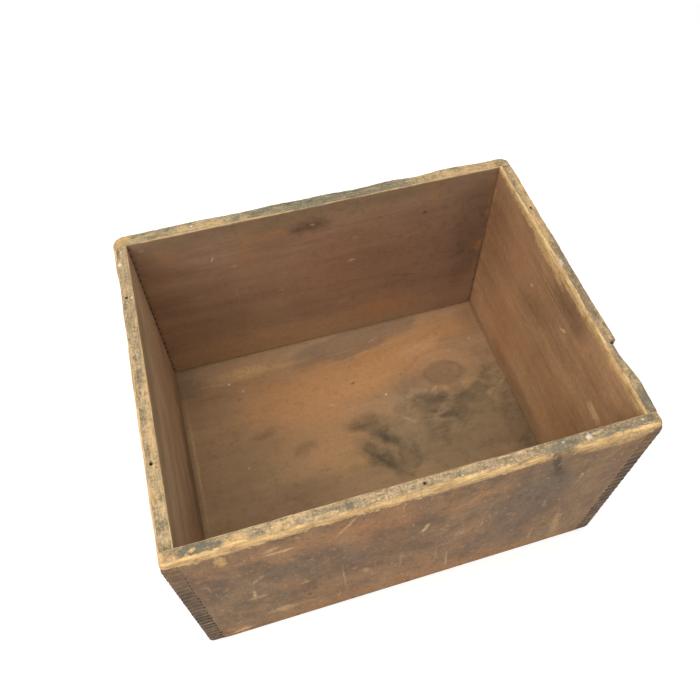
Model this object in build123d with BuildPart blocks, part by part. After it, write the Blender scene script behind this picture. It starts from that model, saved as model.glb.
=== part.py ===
"""Open-topped wooden advertising box with finger-jointed (lock-corner) corners.

Sizes are in millimetres. The origin is the middle of the underside, +Z points up,
+X runs along the long sides and the front faces -Y. Four boards interlock at the
corners, a thin bottom board lies between them, and nails driven through the lower
edges of the four boards hold the bottom.
"""

import os

from build123d import *

# Outside size, measured over the end grain of the fingers
box_width = 406.0
box_depth = 324.0
box_height = 243.0

# Board thicknesses
front_thickness = 12.7
back_thickness = 14.0
end_thickness = 12.3
bottom_thickness = 9.5

# Finger joints
finger_nominal = 4.76
finger_clearance = 0.1
end_grain_proud = 0.3
shoulder_gap = 0.9

# Fit of the bottom board between the four sides
bottom_side_gap = 0.2
bottom_end_gap = 0.6

# Worn arrises
corner_wear = 1.3
rim_wear = 2.4
foot_wear = 1.2
inner_rim_easing = 0.8

# Top corners knocked off, each by its own length along the rim
knocked_height = 13.0
front_left_knock = 4.5
front_right_knock = 6.0
back_left_knock = 8.5
back_right_knock = 6.0

# Holes left in the rim by the nails of a lost lid
lid_hole_diameter = 2.2
lid_hole_depth = 25.0
lid_hole_spacing = 166.0
lid_hole_shift = 3.2
lid_hole_inset = 5.6
front_lid_hole_offset = -0.5
front_lid_hole_inset = 7.7

# Splinter broken out of the right end's outer top arris, ending at a lid nail's hole
splinter_width = 5.2
splinter_drop = 9.0
splinter_length = 12.0
splinter_taper_length = 33.0
splinter_tip_share = 0.1

# Nails that hold the bottom board
nail_diameter = 1.9
nail_length = 34.0
nail_point_length = 3.0
nail_point_width = 0.5
nail_head_diameter = 4.4
nail_head_thickness = 1.0
nail_clearance = 0.12
nail_sunk = 0.3
nail_facets = 12
nail_pitch = 58.0
nail_side_margin = 30.0
nail_point_spacing = 8.0

# Cutters run this far past the faces that they open
cutter_margin = 2.0


def odd_count(length, width):
    """Nearest odd number of fingers, so that a long side's finger is topmost and lowest."""
    return 2 * round((length / width - 1) / 2) + 1


def spaced(length, margin, pitch):
    """Places spread evenly over a length, about one pitch apart and one margin from its ends."""
    reach = length / 2 - margin
    gaps = max(1, round(2 * reach / pitch))
    return [-reach + 2 * reach * place / gaps for place in range(gaps + 1)]


# Planes of the boards' faces
front_face = -box_depth / 2 + end_grain_proud
front_inner = front_face + front_thickness
back_face = box_depth / 2 - end_grain_proud
back_inner = back_face - back_thickness
left_face = -box_width / 2 + end_grain_proud
left_inner = left_face + end_thickness
right_face = box_width / 2 - end_grain_proud
right_inner = right_face - end_thickness

# Finger rows, counted from the underside: the long sides have the even rows, the ends the odd ones
finger_count = odd_count(box_height, finger_nominal)
finger_height = box_height / finger_count
row_middles = [(row + 0.5) * finger_height for row in range(finger_count)]
long_side_rows = row_middles[0::2]
end_rows = row_middles[1::2]

# Each nail has a plane on the face that it is driven into, with its normal outwards,
# and the nails through the ends start clear of the points of those through the long sides
nail_level = bottom_thickness / 2
nail_end_margin = end_grain_proud + nail_length + nail_point_spacing
side_nail_places = spaced(box_width, nail_side_margin, nail_pitch)
end_nail_places = spaced(box_depth, nail_end_margin, nail_pitch)
front_nails = [Plane((x, front_face, nail_level), z_dir=(0, -1, 0)) for x in side_nail_places]
back_nails = [Plane((x, back_face, nail_level), z_dir=(0, 1, 0)) for x in side_nail_places]
left_nails = [Plane((left_face, y, nail_level), z_dir=(-1, 0, 0)) for y in end_nail_places]
right_nails = [Plane((right_face, y, nail_level), z_dir=(1, 0, 0)) for y in end_nail_places]

# Lid nail holes, two in each end's rim and one in the front's
lid_hole_places_y = (lid_hole_shift - lid_hole_spacing / 2, lid_hole_shift + lid_hole_spacing / 2)
left_lid_holes = [(left_face + lid_hole_inset, y, box_height) for y in lid_hole_places_y]
right_lid_holes = [(right_face - lid_hole_inset, y, box_height) for y in lid_hole_places_y]
front_lid_hole = (front_lid_hole_offset, front_face + front_lid_hole_inset, box_height)

# The worn outline of the whole box, which every board is trimmed to
corners = [
    (-1, -1, front_left_knock),
    (1, -1, front_right_knock),
    (-1, 1, back_left_knock),
    (1, 1, back_right_knock),
]
with BuildPart() as worn_block:
    Box(box_width, box_depth, box_height, align=(Align.CENTER, Align.CENTER, Align.MIN))
    fillet(worn_block.faces().sort_by(Axis.Z)[-1].edges(), radius=rim_wear)
    chamfer(worn_block.faces().sort_by(Axis.Z)[0].edges(), length=foot_wear)
    for side_x, side_y, knock in corners:
        bevel_point = (side_x * (box_width / 2 - corner_wear), side_y * box_depth / 2, box_height)
        split(bisect_by=Plane(bevel_point, z_dir=(side_x, side_y, 0)), keep=Keep.BOTTOM)
        knock_point = (side_x * (box_width / 2 - knock), side_y * box_depth / 2, box_height)
        knock_normal = (side_x / knock, side_y / knock, 1 / knocked_height)
        split(bisect_by=Plane(knock_point, z_dir=knock_normal), keep=Keep.BOTTOM)

# One nail, driven along -Z, with its head's top a little under the plane's origin.
# Such thin wire is round enough with a few flat facets.
shank_top = -nail_sunk - nail_head_thickness
with BuildPart() as nail:
    with BuildSketch(Plane.XY.offset(-nail_sunk)):
        RegularPolygon(nail_head_diameter / 2, nail_facets)
    extrude(amount=-nail_head_thickness)
    with BuildSketch(Plane.XY.offset(shank_top)):
        RegularPolygon(nail_diameter / 2, nail_facets)
    extrude(amount=nail_point_length - nail_length - shank_top)
    with BuildSketch(Plane.XY.offset(nail_point_length - nail_length)):
        RegularPolygon(nail_diameter / 2, nail_facets)
    with BuildSketch(Plane.XY.offset(-nail_length)):
        RegularPolygon(nail_point_width / 2, nail_facets)
    loft(ruled=True)

# The bore round a nail, with a recess for its head, open at the face that it is driven into
with BuildPart() as nail_bore:
    with BuildSketch(Plane.XY.offset(cutter_margin)):
        RegularPolygon(nail_head_diameter / 2 + nail_clearance, nail_facets)
    extrude(amount=shank_top - nail_clearance - cutter_margin)
    with BuildSketch(Plane.XY):
        RegularPolygon(nail_diameter / 2 + nail_clearance, nail_facets)
    extrude(amount=-nail_length - nail_clearance)


def fingered_outline(length, low_slot, high_slot, rows):
    """Board outline with open slots of two depths in its ends, one slot on each given row."""
    slot_height = finger_height + finger_clearance
    with Locations((0, box_height / 2)):
        Rectangle(length, box_height)
    low_middle = -length / 2 + (low_slot - cutter_margin) / 2
    high_middle = length / 2 - (high_slot - cutter_margin) / 2
    with Locations(*[(low_middle, height) for height in rows]):
        Rectangle(low_slot + cutter_margin, slot_height, mode=Mode.SUBTRACT)
    with Locations(*[(high_middle, height) for height in rows]):
        Rectangle(high_slot + cutter_margin, slot_height, mode=Mode.SUBTRACT)


def nail_holes(planes):
    """Bores for the nails driven into the given planes."""
    with Locations(*planes):
        add(nail_bore.part, mode=Mode.SUBTRACT)


def lid_holes(places):
    """Empty holes down into the rim."""
    with Locations(*places):
        Hole(radius=lid_hole_diameter / 2, depth=lid_hole_depth)


# The long sides' slots run a little past the ends' inner faces, which leaves a small
# dark hole at every shoulder, and the ends' slots stop where the long sides seat
long_side_slot = end_grain_proud + end_thickness + shoulder_gap
end_front_slot = end_grain_proud + front_thickness
end_back_slot = end_grain_proud + back_thickness

# Front board
with BuildPart() as front_board:
    with BuildSketch(Plane.XZ.offset(-front_face)):
        fingered_outline(box_width, long_side_slot, long_side_slot, end_rows)
    extrude(amount=-front_thickness)
    rim_edges = front_board.edges().filter_by(Axis.X).group_by(Axis.Z)[-1]
    fillet(rim_edges.sort_by(Axis.Y)[-1], radius=inner_rim_easing)
    add(worn_block.part, mode=Mode.INTERSECT)
    nail_holes(front_nails)
    lid_holes([front_lid_hole])

# Back board
with BuildPart() as back_board:
    with BuildSketch(Plane.XZ.offset(-back_face)):
        fingered_outline(box_width, long_side_slot, long_side_slot, end_rows)
    extrude(amount=back_thickness)
    rim_edges = back_board.edges().filter_by(Axis.X).group_by(Axis.Z)[-1]
    fillet(rim_edges.sort_by(Axis.Y)[0], radius=inner_rim_easing)
    add(worn_block.part, mode=Mode.INTERSECT)
    nail_holes(back_nails)

# Left end
with BuildPart() as left_end:
    with BuildSketch(Plane.YZ.offset(left_face)):
        fingered_outline(box_depth, end_front_slot, end_back_slot, long_side_rows)
    extrude(amount=end_thickness)
    rim_edges = left_end.edges().filter_by(Axis.Y).group_by(Axis.Z)[-1]
    fillet(rim_edges.sort_by(Axis.X)[-1], radius=inner_rim_easing)
    add(worn_block.part, mode=Mode.INTERSECT)
    nail_holes(left_nails)
    lid_holes(left_lid_holes)

# The splinter's wedge has its full section from the lid nail's hole on, then runs out to a point
splinter_start = lid_hole_places_y[0]
splinter_full_end = splinter_start - splinter_length
splinter_tip = splinter_full_end - splinter_taper_length
splinter_stations = [(splinter_start, 1.0), (splinter_full_end, 1.0), (splinter_tip, splinter_tip_share)]
with BuildPart() as splinter:
    for station, share in splinter_stations:
        with BuildSketch(Plane((right_face, station, box_height), x_dir=(1, 0, 0), z_dir=(0, -1, 0))):
            with BuildLine():
                Polyline(
                    (cutter_margin, cutter_margin),
                    (-splinter_width * share, cutter_margin),
                    (-splinter_width * share, 0),
                    (0, -splinter_drop * share),
                    (cutter_margin, -splinter_drop * share),
                    close=True,
                )
            make_face()
    loft(ruled=True)

# Right end
with BuildPart() as right_end:
    with BuildSketch(Plane.YZ.offset(right_face)):
        fingered_outline(box_depth, end_front_slot, end_back_slot, long_side_rows)
    extrude(amount=-end_thickness)
    rim_edges = right_end.edges().filter_by(Axis.Y).group_by(Axis.Z)[-1]
    fillet(rim_edges.sort_by(Axis.X)[0], radius=inner_rim_easing)
    add(worn_block.part, mode=Mode.INTERSECT)
    add(splinter.part, mode=Mode.SUBTRACT)
    nail_holes(right_nails)
    lid_holes(right_lid_holes)

# Bottom board, lying between the sides with its underside level with theirs
bottom_length = right_inner - left_inner - 2 * bottom_end_gap
bottom_width = back_inner - front_inner - 2 * bottom_side_gap
with BuildPart() as bottom_board:
    with BuildSketch(Plane.XY):
        with Locations(((left_inner + right_inner) / 2, (front_inner + back_inner) / 2)):
            Rectangle(bottom_length, bottom_width)
    extrude(amount=bottom_thickness)
    nail_holes(front_nails + back_nails + left_nails + right_nails)

def nail_row(planes):
    """One row of nails, each a separate solid."""
    with BuildPart() as row:
        with Locations(*planes):
            add(nail.part)
    return row


# Nails through each of the four sides
bottom_nails_front = nail_row(front_nails)
bottom_nails_back = nail_row(back_nails)
bottom_nails_left = nail_row(left_nails)
bottom_nails_right = nail_row(right_nails)

# Write one file for each piece
pieces = {
    "front_board": front_board,
    "back_board": back_board,
    "left_end": left_end,
    "right_end": right_end,
    "bottom_board": bottom_board,
    "bottom_nails_front": bottom_nails_front,
    "bottom_nails_back": bottom_nails_back,
    "bottom_nails_left": bottom_nails_left,
    "bottom_nails_right": bottom_nails_right,
}
os.makedirs("parts", exist_ok=True)
for name, piece in pieces.items():
    piece.part.label = name
    export_step(piece.part, f"parts/{name}.step")
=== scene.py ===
"""The finish of an old open wooden box with finger-jointed corners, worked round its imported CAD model.

Sizes are in millimetres. x runs along the front from left to right, y from the front to the
back, z up from the surface that the box stands on. Meshes are turned into metres when made.
"""

import logging
import math
from dataclasses import dataclass, field
from enum import Enum
from functools import reduce
from typing import Sequence

import bpy
import numpy as np
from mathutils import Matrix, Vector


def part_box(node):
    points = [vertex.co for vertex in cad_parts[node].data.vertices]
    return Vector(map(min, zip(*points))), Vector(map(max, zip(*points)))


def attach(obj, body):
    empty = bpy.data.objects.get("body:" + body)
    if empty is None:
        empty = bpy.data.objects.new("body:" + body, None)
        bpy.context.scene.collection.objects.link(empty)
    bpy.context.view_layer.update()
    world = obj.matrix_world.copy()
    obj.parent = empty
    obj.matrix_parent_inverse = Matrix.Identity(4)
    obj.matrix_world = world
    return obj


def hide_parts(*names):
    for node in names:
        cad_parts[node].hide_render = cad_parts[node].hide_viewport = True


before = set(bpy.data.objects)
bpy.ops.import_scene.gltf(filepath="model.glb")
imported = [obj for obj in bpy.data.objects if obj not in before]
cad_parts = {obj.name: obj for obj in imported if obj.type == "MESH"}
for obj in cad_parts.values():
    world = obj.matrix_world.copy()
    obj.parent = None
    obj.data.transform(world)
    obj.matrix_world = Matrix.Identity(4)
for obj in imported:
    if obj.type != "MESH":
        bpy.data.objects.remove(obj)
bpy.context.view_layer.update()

log = logging.getLogger("box")

MILLIMETRES = 1000.0
BODY = "root"
CREASE = 42.0
NAIL_CREASE = 50.0
TINY = 1e-9

Colour = tuple[float, float, float, float]


def shade(red: int, green: int, blue: int) -> Colour:
    """Turns a colour as seen on a screen, 0 to 255, into the linear values that a shader takes.

    Args:
        red: Red on the screen.
        green: Green on the screen.
        blue: Blue on the screen.

    Returns:
        Linear red, green and blue, and an alpha of one.
    """
    screen = np.array([red, green, blue]) / 255.0
    linear = np.where(screen <= 0.04045, screen / 12.92, ((screen + 0.055) / 1.055) ** 2.4)
    return (float(linear[0]), float(linear[1]), float(linear[2]), 1.0)


def smooth_step(value: np.ndarray, low: float, high: float) -> np.ndarray:
    """Rises from 0 at low to 1 at high, as 3t squared less 2t cubed.

    Args:
        value: Where to read the step.
        low: Value at which it starts to leave 0.
        high: Value at which it reaches 1, which may be lower than low.

    Returns:
        The step at each value.
    """
    share = np.clip((value - low) / (high - low), 0.0, 1.0)
    return share * share * (3.0 - 2.0 * share)


def ripple(points: np.ndarray, wavelength: float, seed: int, waves: int = 9) -> np.ndarray:
    """Smooth noise: a sum of cosine waves with seeded directions, lengths and phases.

    Args:
        points: Places, one row each.
        wavelength: Usual length of a wave in millimetres.
        seed: Picks the waves.
        waves: How many waves are added.

    Returns:
        Noise of about -1.5 to 1.5, and mostly within 1.
    """
    chance = np.random.default_rng(seed)
    directions = chance.normal(size=(waves, 3))
    directions /= np.linalg.norm(directions, axis=1, keepdims=True)
    lengths = wavelength * chance.uniform(0.6, 1.6, waves)
    phases = chance.uniform(0.0, 2.0 * math.pi, waves)
    turns = points @ (directions / lengths[:, None]).T
    return np.cos(2.0 * math.pi * turns + phases).sum(axis=1) / math.sqrt(waves / 2.0)


def merged_lines(fixed: Sequence[float], extra: Sequence[float], least: float) -> np.ndarray:
    """Sorted grid lines: all the fixed ones, and the extra ones that keep clear of them.

    Args:
        fixed: Lines that must be there.
        extra: Lines that fill the space between.
        least: Smallest distance of an extra line from any fixed one.

    Returns:
        The lines, lowest first.
    """
    fixed_lines = np.unique(np.round(np.asarray(fixed, float), 6))
    extra_lines = np.unique(np.asarray(extra, float))
    away = np.abs(extra_lines[:, None] - fixed_lines[None, :]).min(axis=1) >= least
    return np.sort(np.concatenate([fixed_lines, extra_lines[away]]))


class Lie(Enum):
    """The five boards: each one's node, its axes along, up and through it, and the sign of its depth."""

    FRONT = ("front_board", 0, 2, 1, 1)
    BACK = ("back_board", 0, 2, 1, -1)
    LEFT = ("left_end", 1, 2, 0, 1)
    RIGHT = ("right_end", 1, 2, 0, -1)
    BOTTOM = ("bottom_board", 0, 1, 2, -1)

    def __init__(self, node: str, along: int, up: int, through: int, sign: int) -> None:
        """Keeps the parts of the value under their names.

        Args:
            node: Node of the board.
            along: Axis along it.
            up: Axis up or across it.
            through: Axis through it.
            sign: 1 where its depth runs along that axis, -1 where it runs against it.
        """
        self.node = node
        self.axes = (along, up, through)
        self.sign = sign

    @property
    def long(self) -> bool:
        """Whether this is one of the two long sides."""
        return self in (Lie.FRONT, Lie.BACK)

    @property
    def left_handed(self) -> bool:
        """Whether length, height and depth form a left-handed set of axes."""
        return float(np.linalg.det(np.eye(3)[list(self.axes)])) * self.sign < 0.0


@dataclass(frozen=True)
class BoxSizes:
    """Planes and half sizes of the box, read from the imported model.

    A board's depth runs from its outer plane to its inner one. The bottom's runs downwards, so
    its outer plane is the top that shows inside the box.
    """

    half_width: float
    half_depth: float
    height: float
    outer: dict[Lie, float]
    inner: dict[Lie, float]
    floor: np.ndarray

    @classmethod
    def from_frame(cls) -> "BoxSizes":
        """Reads the boards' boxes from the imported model.

        Returns:
            The sizes in millimetres.
        """
        boxes = {lie: np.array(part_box(lie.node), float) * MILLIMETRES for lie in Lie}
        front, left = boxes[Lie.FRONT], boxes[Lie.LEFT]
        return cls(
            half_width=front[1, 0], half_depth=left[1, 1], height=front[1, 2],
            outer={lie: box[int(lie.sign < 0), lie.axes[2]] for lie, box in boxes.items()},
            inner={lie: box[int(lie.sign > 0), lie.axes[2]] for lie, box in boxes.items()},
            floor=boxes[Lie.BOTTOM],
        )

    def thickness(self, lie: Lie) -> float:
        """Thickness of a board."""
        return abs(self.inner[lie] - self.outer[lie])

    def half_length(self, lie: Lie) -> float:
        """Half a board's length over its fingers."""
        return self.half_width if lie.long else self.half_depth

    def own_parts(self, lie: Lie, parts: Sequence) -> tuple:
        """Turns x, y and z into a board's own directions.

        Args:
            lie: How the board lies.
            parts: x, y and z in millimetres, as arrays or as wires.

        Returns:
            Places along the board, up or across it, and behind its outer face.
        """
        along, up, through = (parts[axis] for axis in lie.axes)
        depth = through - self.outer[lie] if lie.sign > 0 else self.outer[lie] - through
        return along, up, depth

    def box_places(self, lie: Lie, points: np.ndarray) -> np.ndarray:
        """Turns a board's own directions back into x, y and z.

        Args:
            lie: How the board lies.
            points: Places along the board, up or across it, and behind its outer face.

        Returns:
            The places in the box.
        """
        places = np.empty_like(points)
        places[:, lie.axes] = points * np.array([1.0, 1.0, lie.sign])
        places[:, lie.axes[2]] += self.outer[lie]
        return places


@dataclass(frozen=True)
class Joints:
    """The fingers of the corners. Even rows belong to the long sides, odd rows to the ends."""

    height: float
    rows: int = 51
    clearance: float = 0.1
    shoulder_gap: float = 0.9
    shoulder_least: float = 0.5
    shoulder_most: float = 1.9
    shoulder_low: float = 1.45
    shoulder_high: float = 0.1
    end_shoulder_share: float = 0.25
    eased: float = 0.3
    ease_reach: float = 0.45
    recess: float = 0.22
    face_recess: float = 0.3

    @property
    def pitch(self) -> float:
        """Height of one row."""
        return self.height / self.rows

    def height_lines(self, fine_zone: float, fine_step: float) -> np.ndarray:
        """Grid lines up a jointed board: the sides of each seam, each row's middle, and finer ones on top.

        Args:
            fine_zone: Height of the zone below the top that gets finer lines.
            fine_step: Distance between those lines.

        Returns:
            The lines, lowest first.
        """
        seams = np.arange(1, self.rows) * self.pitch
        half = self.clearance / 2.0
        fixed = np.concatenate([[0.0, self.height], seams - half, seams + half])
        middles = (np.arange(self.rows) + 0.5) * self.pitch
        foot = np.array([0.4, 0.9, 1.6, 3.2])
        top = self.height - np.arange(0.0, fine_zone, fine_step)
        return merged_lines(fixed, np.concatenate([middles, foot, top]), 0.3)

    def row_of(self, heights: np.ndarray) -> np.ndarray:
        """Row number at each height."""
        return np.clip(np.floor(heights / self.pitch), 0, self.rows - 1).astype(int)

    def in_seam(self, heights: np.ndarray) -> np.ndarray:
        """Whether each height lies in the clearance between two rows.

        Args:
            heights: Heights above the foot.

        Returns:
            True inside a clearance.
        """
        nearest = np.round(heights / self.pitch) * self.pitch
        inside = np.abs(heights - nearest) < self.clearance / 2.0
        return inside & (heights > self.clearance) & (heights < self.height - self.clearance)


@dataclass
class CombGrid:
    """A flat solid on a grid of length, height and depth lines, with some of its cells left out.

    A point of the grid is (length line, height line, depth line). The skin of the solid is the
    outer and inner side of each kept cell, and a strip of wall wherever a kept cell meets one
    that is left out or the end of the grid.
    """

    lengths: np.ndarray
    heights: np.ndarray
    depths: np.ndarray
    kept: np.ndarray

    def _index(self, up: np.ndarray, along: np.ndarray, deep: np.ndarray) -> np.ndarray:
        """Number of a grid point from its three line numbers."""
        return (up * len(self.lengths) + along) * len(self.depths) + deep

    def _sides(self) -> list[np.ndarray]:
        """Quads of the outer and the inner side.

        Returns:
            The outer quads and the inner ones.
        """
        up, along = np.nonzero(self.kept)
        ring = ((up, along), (up, along + 1), (up + 1, along + 1), (up + 1, along))
        last = len(self.depths) - 1
        inner = np.stack([self._index(u, a, np.full_like(u, last)) for u, a in ring], axis=1)
        outer = np.stack([self._index(u, a, np.zeros_like(u)) for u, a in ring[::-1]], axis=1)
        return [outer, inner]

    def _walls(self, axis: int) -> list[np.ndarray]:
        """Quads of the walls, found where kept changes from row to row or from column to column.

        Args:
            axis: 0 for the walls that face up or down, 1 for those that face along the length.

        Returns:
            The quads that face one way, and those that face the other.
        """
        ends = [(1, 1) if number == axis else (0, 0) for number in range(2)]
        change = np.diff(np.pad(self.kept.astype(int), ends), axis=axis)
        deep = np.arange(len(self.depths) - 1)
        corners = ((0, 0), (1, 0), (1, 1), (0, 1)) if axis else ((0, 0), (0, 1), (1, 1), (1, 0))
        quads = []
        for step, order in ((-1, 1), (1, -1)):
            up, along = np.nonzero(change == step)
            grids = np.broadcast_arrays(up[:, None], along[:, None], deep[None, :])
            u, a, d = (grid.ravel() for grid in grids)
            ring = [self._index(u + side * axis, a + side * (1 - axis), d + back) for side, back in corners]
            quads.append(np.stack(ring[::order], axis=1))
        return quads

    def build(self) -> tuple[np.ndarray, np.ndarray]:
        """Makes the skin of the solid.

        Returns:
            Points as (length, height, depth), and quads of point numbers that face outwards
            where length, height and depth form a right-handed set of axes.
        """
        quads = np.concatenate(self._sides() + self._walls(1) + self._walls(0))
        used, numbers = np.unique(quads, return_inverse=True)
        deep = used % len(self.depths)
        along = used // len(self.depths) % len(self.lengths)
        up = used // len(self.depths) // len(self.lengths)
        points = np.stack([self.lengths[along], self.heights[up], self.depths[deep]], axis=1)
        return points, numbers.reshape(quads.shape)


def rounded_pair(
    first: np.ndarray, second: np.ndarray, reach: np.ndarray,
) -> tuple[np.ndarray, np.ndarray]:
    """Rounds a square arris: within reach of both faces, squares round the arris's centre become circles.

    Each point's distances to the centre of the round, reach less its depth behind either face,
    are both scaled by the larger of the two over their hypotenuse.

    Args:
        first: Depth behind the first face.
        second: Depth behind the second face.
        reach: Radius of the round.

    Returns:
        The two new depths.
    """
    a = reach - first
    b = reach - second
    inside = (a > 0.0) & (b > 0.0)
    long = np.maximum(np.hypot(a, b), TINY)
    scale = np.where(inside, np.maximum(a, b) / long, 1.0)
    return np.where(inside, reach - a * scale, first), np.where(inside, reach - b * scale, second)


@dataclass(frozen=True)
class Wear:
    """How the whole box is worn: one map of space for all its boards, so that their joints stay closed."""

    sizes: BoxSizes
    corner_radius: float = 1.7
    knock_height: float = 15.0
    front_left_knock: float = 6.5
    front_right_knock: float = 8.5
    back_left_knock: float = 12.0
    back_right_knock: float = 10.5
    arris: float = 3.4
    front_arris: float = 4.6
    arris_change: float = 0.28
    arris_wave: float = 45.0
    arris_fine_change: float = 0.1
    arris_fine_wave: float = 9.0
    arris_least: float = 1.6
    foot: float = 1.4
    foot_knock: float = 4.5
    foot_knock_height: float = 10.0
    least_margin: float = 0.1
    rim_dip: float = 0.25
    dip_wave: float = 60.0
    dip_height: float = 12.0
    dent: float = 0.9
    dent_wave: float = 75.0
    front_dent_share: float = 0.35
    dent_depth: float = 7.0
    dent_height: float = 14.0
    dent_clear: tuple[float, float] = (14.0, 34.0)
    foot_corner: tuple[float, float] = (20.0, 5.0)

    def _corner_radius_at(self, points: np.ndarray) -> np.ndarray:
        """Radius of the nearest vertical corner, which grows towards the top by a smooth step.

        Args:
            points: Places in the box.

        Returns:
            The radius at each place.
        """
        front = np.where(points[:, 0] < 0.0, self.front_left_knock, self.front_right_knock)
        back = np.where(points[:, 0] < 0.0, self.back_left_knock, self.back_right_knock)
        top_radius = np.where(points[:, 1] < 0.0, front, back)
        below = self.sizes.height - points[:, 2]
        share = smooth_step(below, self.knock_height, 0.0) ** 1.5
        low = self._foot_share(points) * smooth_step(points[:, 2], self.foot_knock_height, 0.0)
        return self.corner_radius + (top_radius - self.corner_radius) * share + self.foot_knock * low

    def _foot_share(self, points: np.ndarray) -> np.ndarray:
        """How much of the full knock each foot has: the front left one the most."""
        return np.where((points[:, 0] < 0.0) & (points[:, 1] < 0.0), 1.0, 0.3)

    def apply(self, points: np.ndarray) -> np.ndarray:
        """Moves points of the unworn box to where they lie on the worn one.

        The plan's corners are rounded first. Then each point's depth behind the rounded outline
        and its depth below the top, or height above the foot, are rounded as a pair.

        Args:
            points: Places in the box, one row each.

        Returns:
            The worn places.
        """
        sizes = self.sizes
        half = np.array([sizes.half_width, sizes.half_depth])
        radius = self._corner_radius_at(points)
        side = np.where(points[:, :2] < 0.0, -1.0, 1.0)
        place = np.abs(points[:, :2])
        core = half[None, :] - radius[:, None]
        beyond = np.maximum(place - core, 0.0)
        reach = np.maximum(np.hypot(beyond[:, 0], beyond[:, 1]), TINY)
        scale = np.where(beyond.min(axis=1) > 0.0, beyond.max(axis=1) / reach, 1.0)
        beyond *= scale[:, None]
        place = np.where(beyond > 0.0, core + beyond, place)
        length = np.hypot(beyond[:, 0], beyond[:, 1])
        behind = half[None, :] - place
        in_band = length > 1e-6
        by_x = behind[:, 0] <= behind[:, 1]
        nearest = np.stack([by_x, ~by_x], axis=1).astype(float)
        outward = np.where(in_band[:, None], beyond / np.maximum(length, TINY)[:, None], nearest)
        depth = np.where(in_band, radius - length, behind.min(axis=1))
        below = sizes.height - points[:, 2]

        flat = points * np.array([1.0, 1.0, 0.0])
        clear = smooth_step(behind.max(axis=1), *self.dent_clear)
        share = self.front_dent_share + (1.0 - self.front_dent_share) * (points[:, 1] > 0.0)
        dents = self.dent * np.maximum(ripple(flat, self.dent_wave, 11), 0.0) * share * clear
        dents = dents * smooth_step(depth, self.dent_depth, 0.0)
        new_depth = depth + dents * smooth_step(below, self.dent_height, 1.0)
        base = np.where(points[:, 1] < sizes.inner[Lie.FRONT], self.front_arris, self.arris)
        swing = 1.0 + self.arris_change * ripple(flat, self.arris_wave, 12)
        swing += self.arris_fine_change * ripple(flat, self.arris_fine_wave, 13)
        top_reach = np.clip(base * swing, self.arris_least, self.front_left_knock - 0.4)
        top_reach = np.minimum(top_reach, radius - self.least_margin)
        new_depth, new_below = rounded_pair(new_depth, below, top_reach)
        at_corner = smooth_step(behind.max(axis=1), *self.foot_corner) * self._foot_share(points)
        foot = np.minimum(self.foot + self.foot_knock * at_corner, radius - self.least_margin)
        new_depth, new_above = rounded_pair(new_depth, sizes.height - new_below, foot)
        dip = self.rim_dip * (1.0 + ripple(flat, self.dip_wave, 14)).clip(0.0)
        result = np.empty_like(points)
        result[:, :2] = side * (place - (new_depth - depth)[:, None] * outward)
        result[:, 2] = new_above - dip * smooth_step(below, self.dip_height, 0.0)
        return result


def add_mesh(
    name: str, points: np.ndarray, faces: list, material: bpy.types.Material, crease: float,
) -> bpy.types.Object:
    """Makes a smooth-shaded mesh object with sharp creases, in metres at the origin.

    Args:
        name: Name of the piece.
        points: Places in millimetres, one row each.
        faces: Point numbers of each face.
        material: Its finish.
        crease: Angle in degrees past which an edge is shaded sharp.

    Returns:
        The new object.
    """
    mesh = bpy.data.meshes.new(name)
    mesh.from_pydata((points / MILLIMETRES).tolist(), [], faces)
    mesh.update()
    shade_mesh(mesh, crease)
    mesh.materials.append(material)
    piece = bpy.data.objects.new(name, mesh)
    bpy.context.scene.collection.objects.link(piece)
    return piece


def shade_mesh(mesh: bpy.types.Mesh, crease: float) -> None:
    """Shades a mesh smooth, apart from edges sharper than the crease.

    Args:
        mesh: The mesh to shade.
        crease: Angle in degrees past which an edge is sharp.
    """
    mesh.polygons.foreach_set("use_smooth", np.ones(len(mesh.polygons), bool))
    mesh.set_sharp_from_angle(angle=math.radians(crease))


def turned_solid(
    profile: np.ndarray, origin: np.ndarray, axis: np.ndarray, sides: int,
) -> tuple[np.ndarray, list]:
    """Solid of revolution: each profile point is carried round the axis, and both ends close in a pole.

    Args:
        profile: Rows of (distance along the axis, radius), from one pole's ring to the other's.
        origin: Where the axis starts.
        axis: Its unit direction.
        sides: Number of steps round the axis.

    Returns:
        Points, and faces that point outwards.
    """
    helper = np.array([0.0, 0.0, 1.0]) if abs(axis[2]) < 0.9 else np.array([1.0, 0.0, 0.0])
    first = np.cross(axis, helper)
    first /= np.linalg.norm(first)
    second = np.cross(axis, first)
    angle = 2.0 * math.pi * np.arange(sides) / sides
    spokes = np.cos(angle)[:, None] * first + np.sin(angle)[:, None] * second
    rings = profile[:, 0, None, None] * axis + profile[:, 1, None, None] * spokes[None] + origin
    poles = origin + profile[[0, -1], 0][:, None] * axis
    points = np.concatenate([rings.reshape(-1, 3), poles])
    ring, step = np.meshgrid(np.arange(len(profile) - 1), np.arange(sides), indexing="ij")
    ring, step = ring.ravel(), step.ravel()
    ahead = (step + 1) % sides
    low, high = ring * sides, (ring + 1) * sides
    quads = np.stack([low + step, low + ahead, high + ahead, high + step], axis=1)
    start_pole, end_pole = len(points) - 2, len(points) - 1
    around, following = np.arange(sides), (np.arange(sides) + 1) % sides
    base = (len(profile) - 1) * sides
    start_fan = np.stack([np.full(sides, start_pole), following, around], axis=1)
    end_fan = np.stack([np.full(sides, end_pole), base + around, base + following], axis=1)
    return points, quads.tolist() + start_fan.tolist() + end_fan.tolist()


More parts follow.
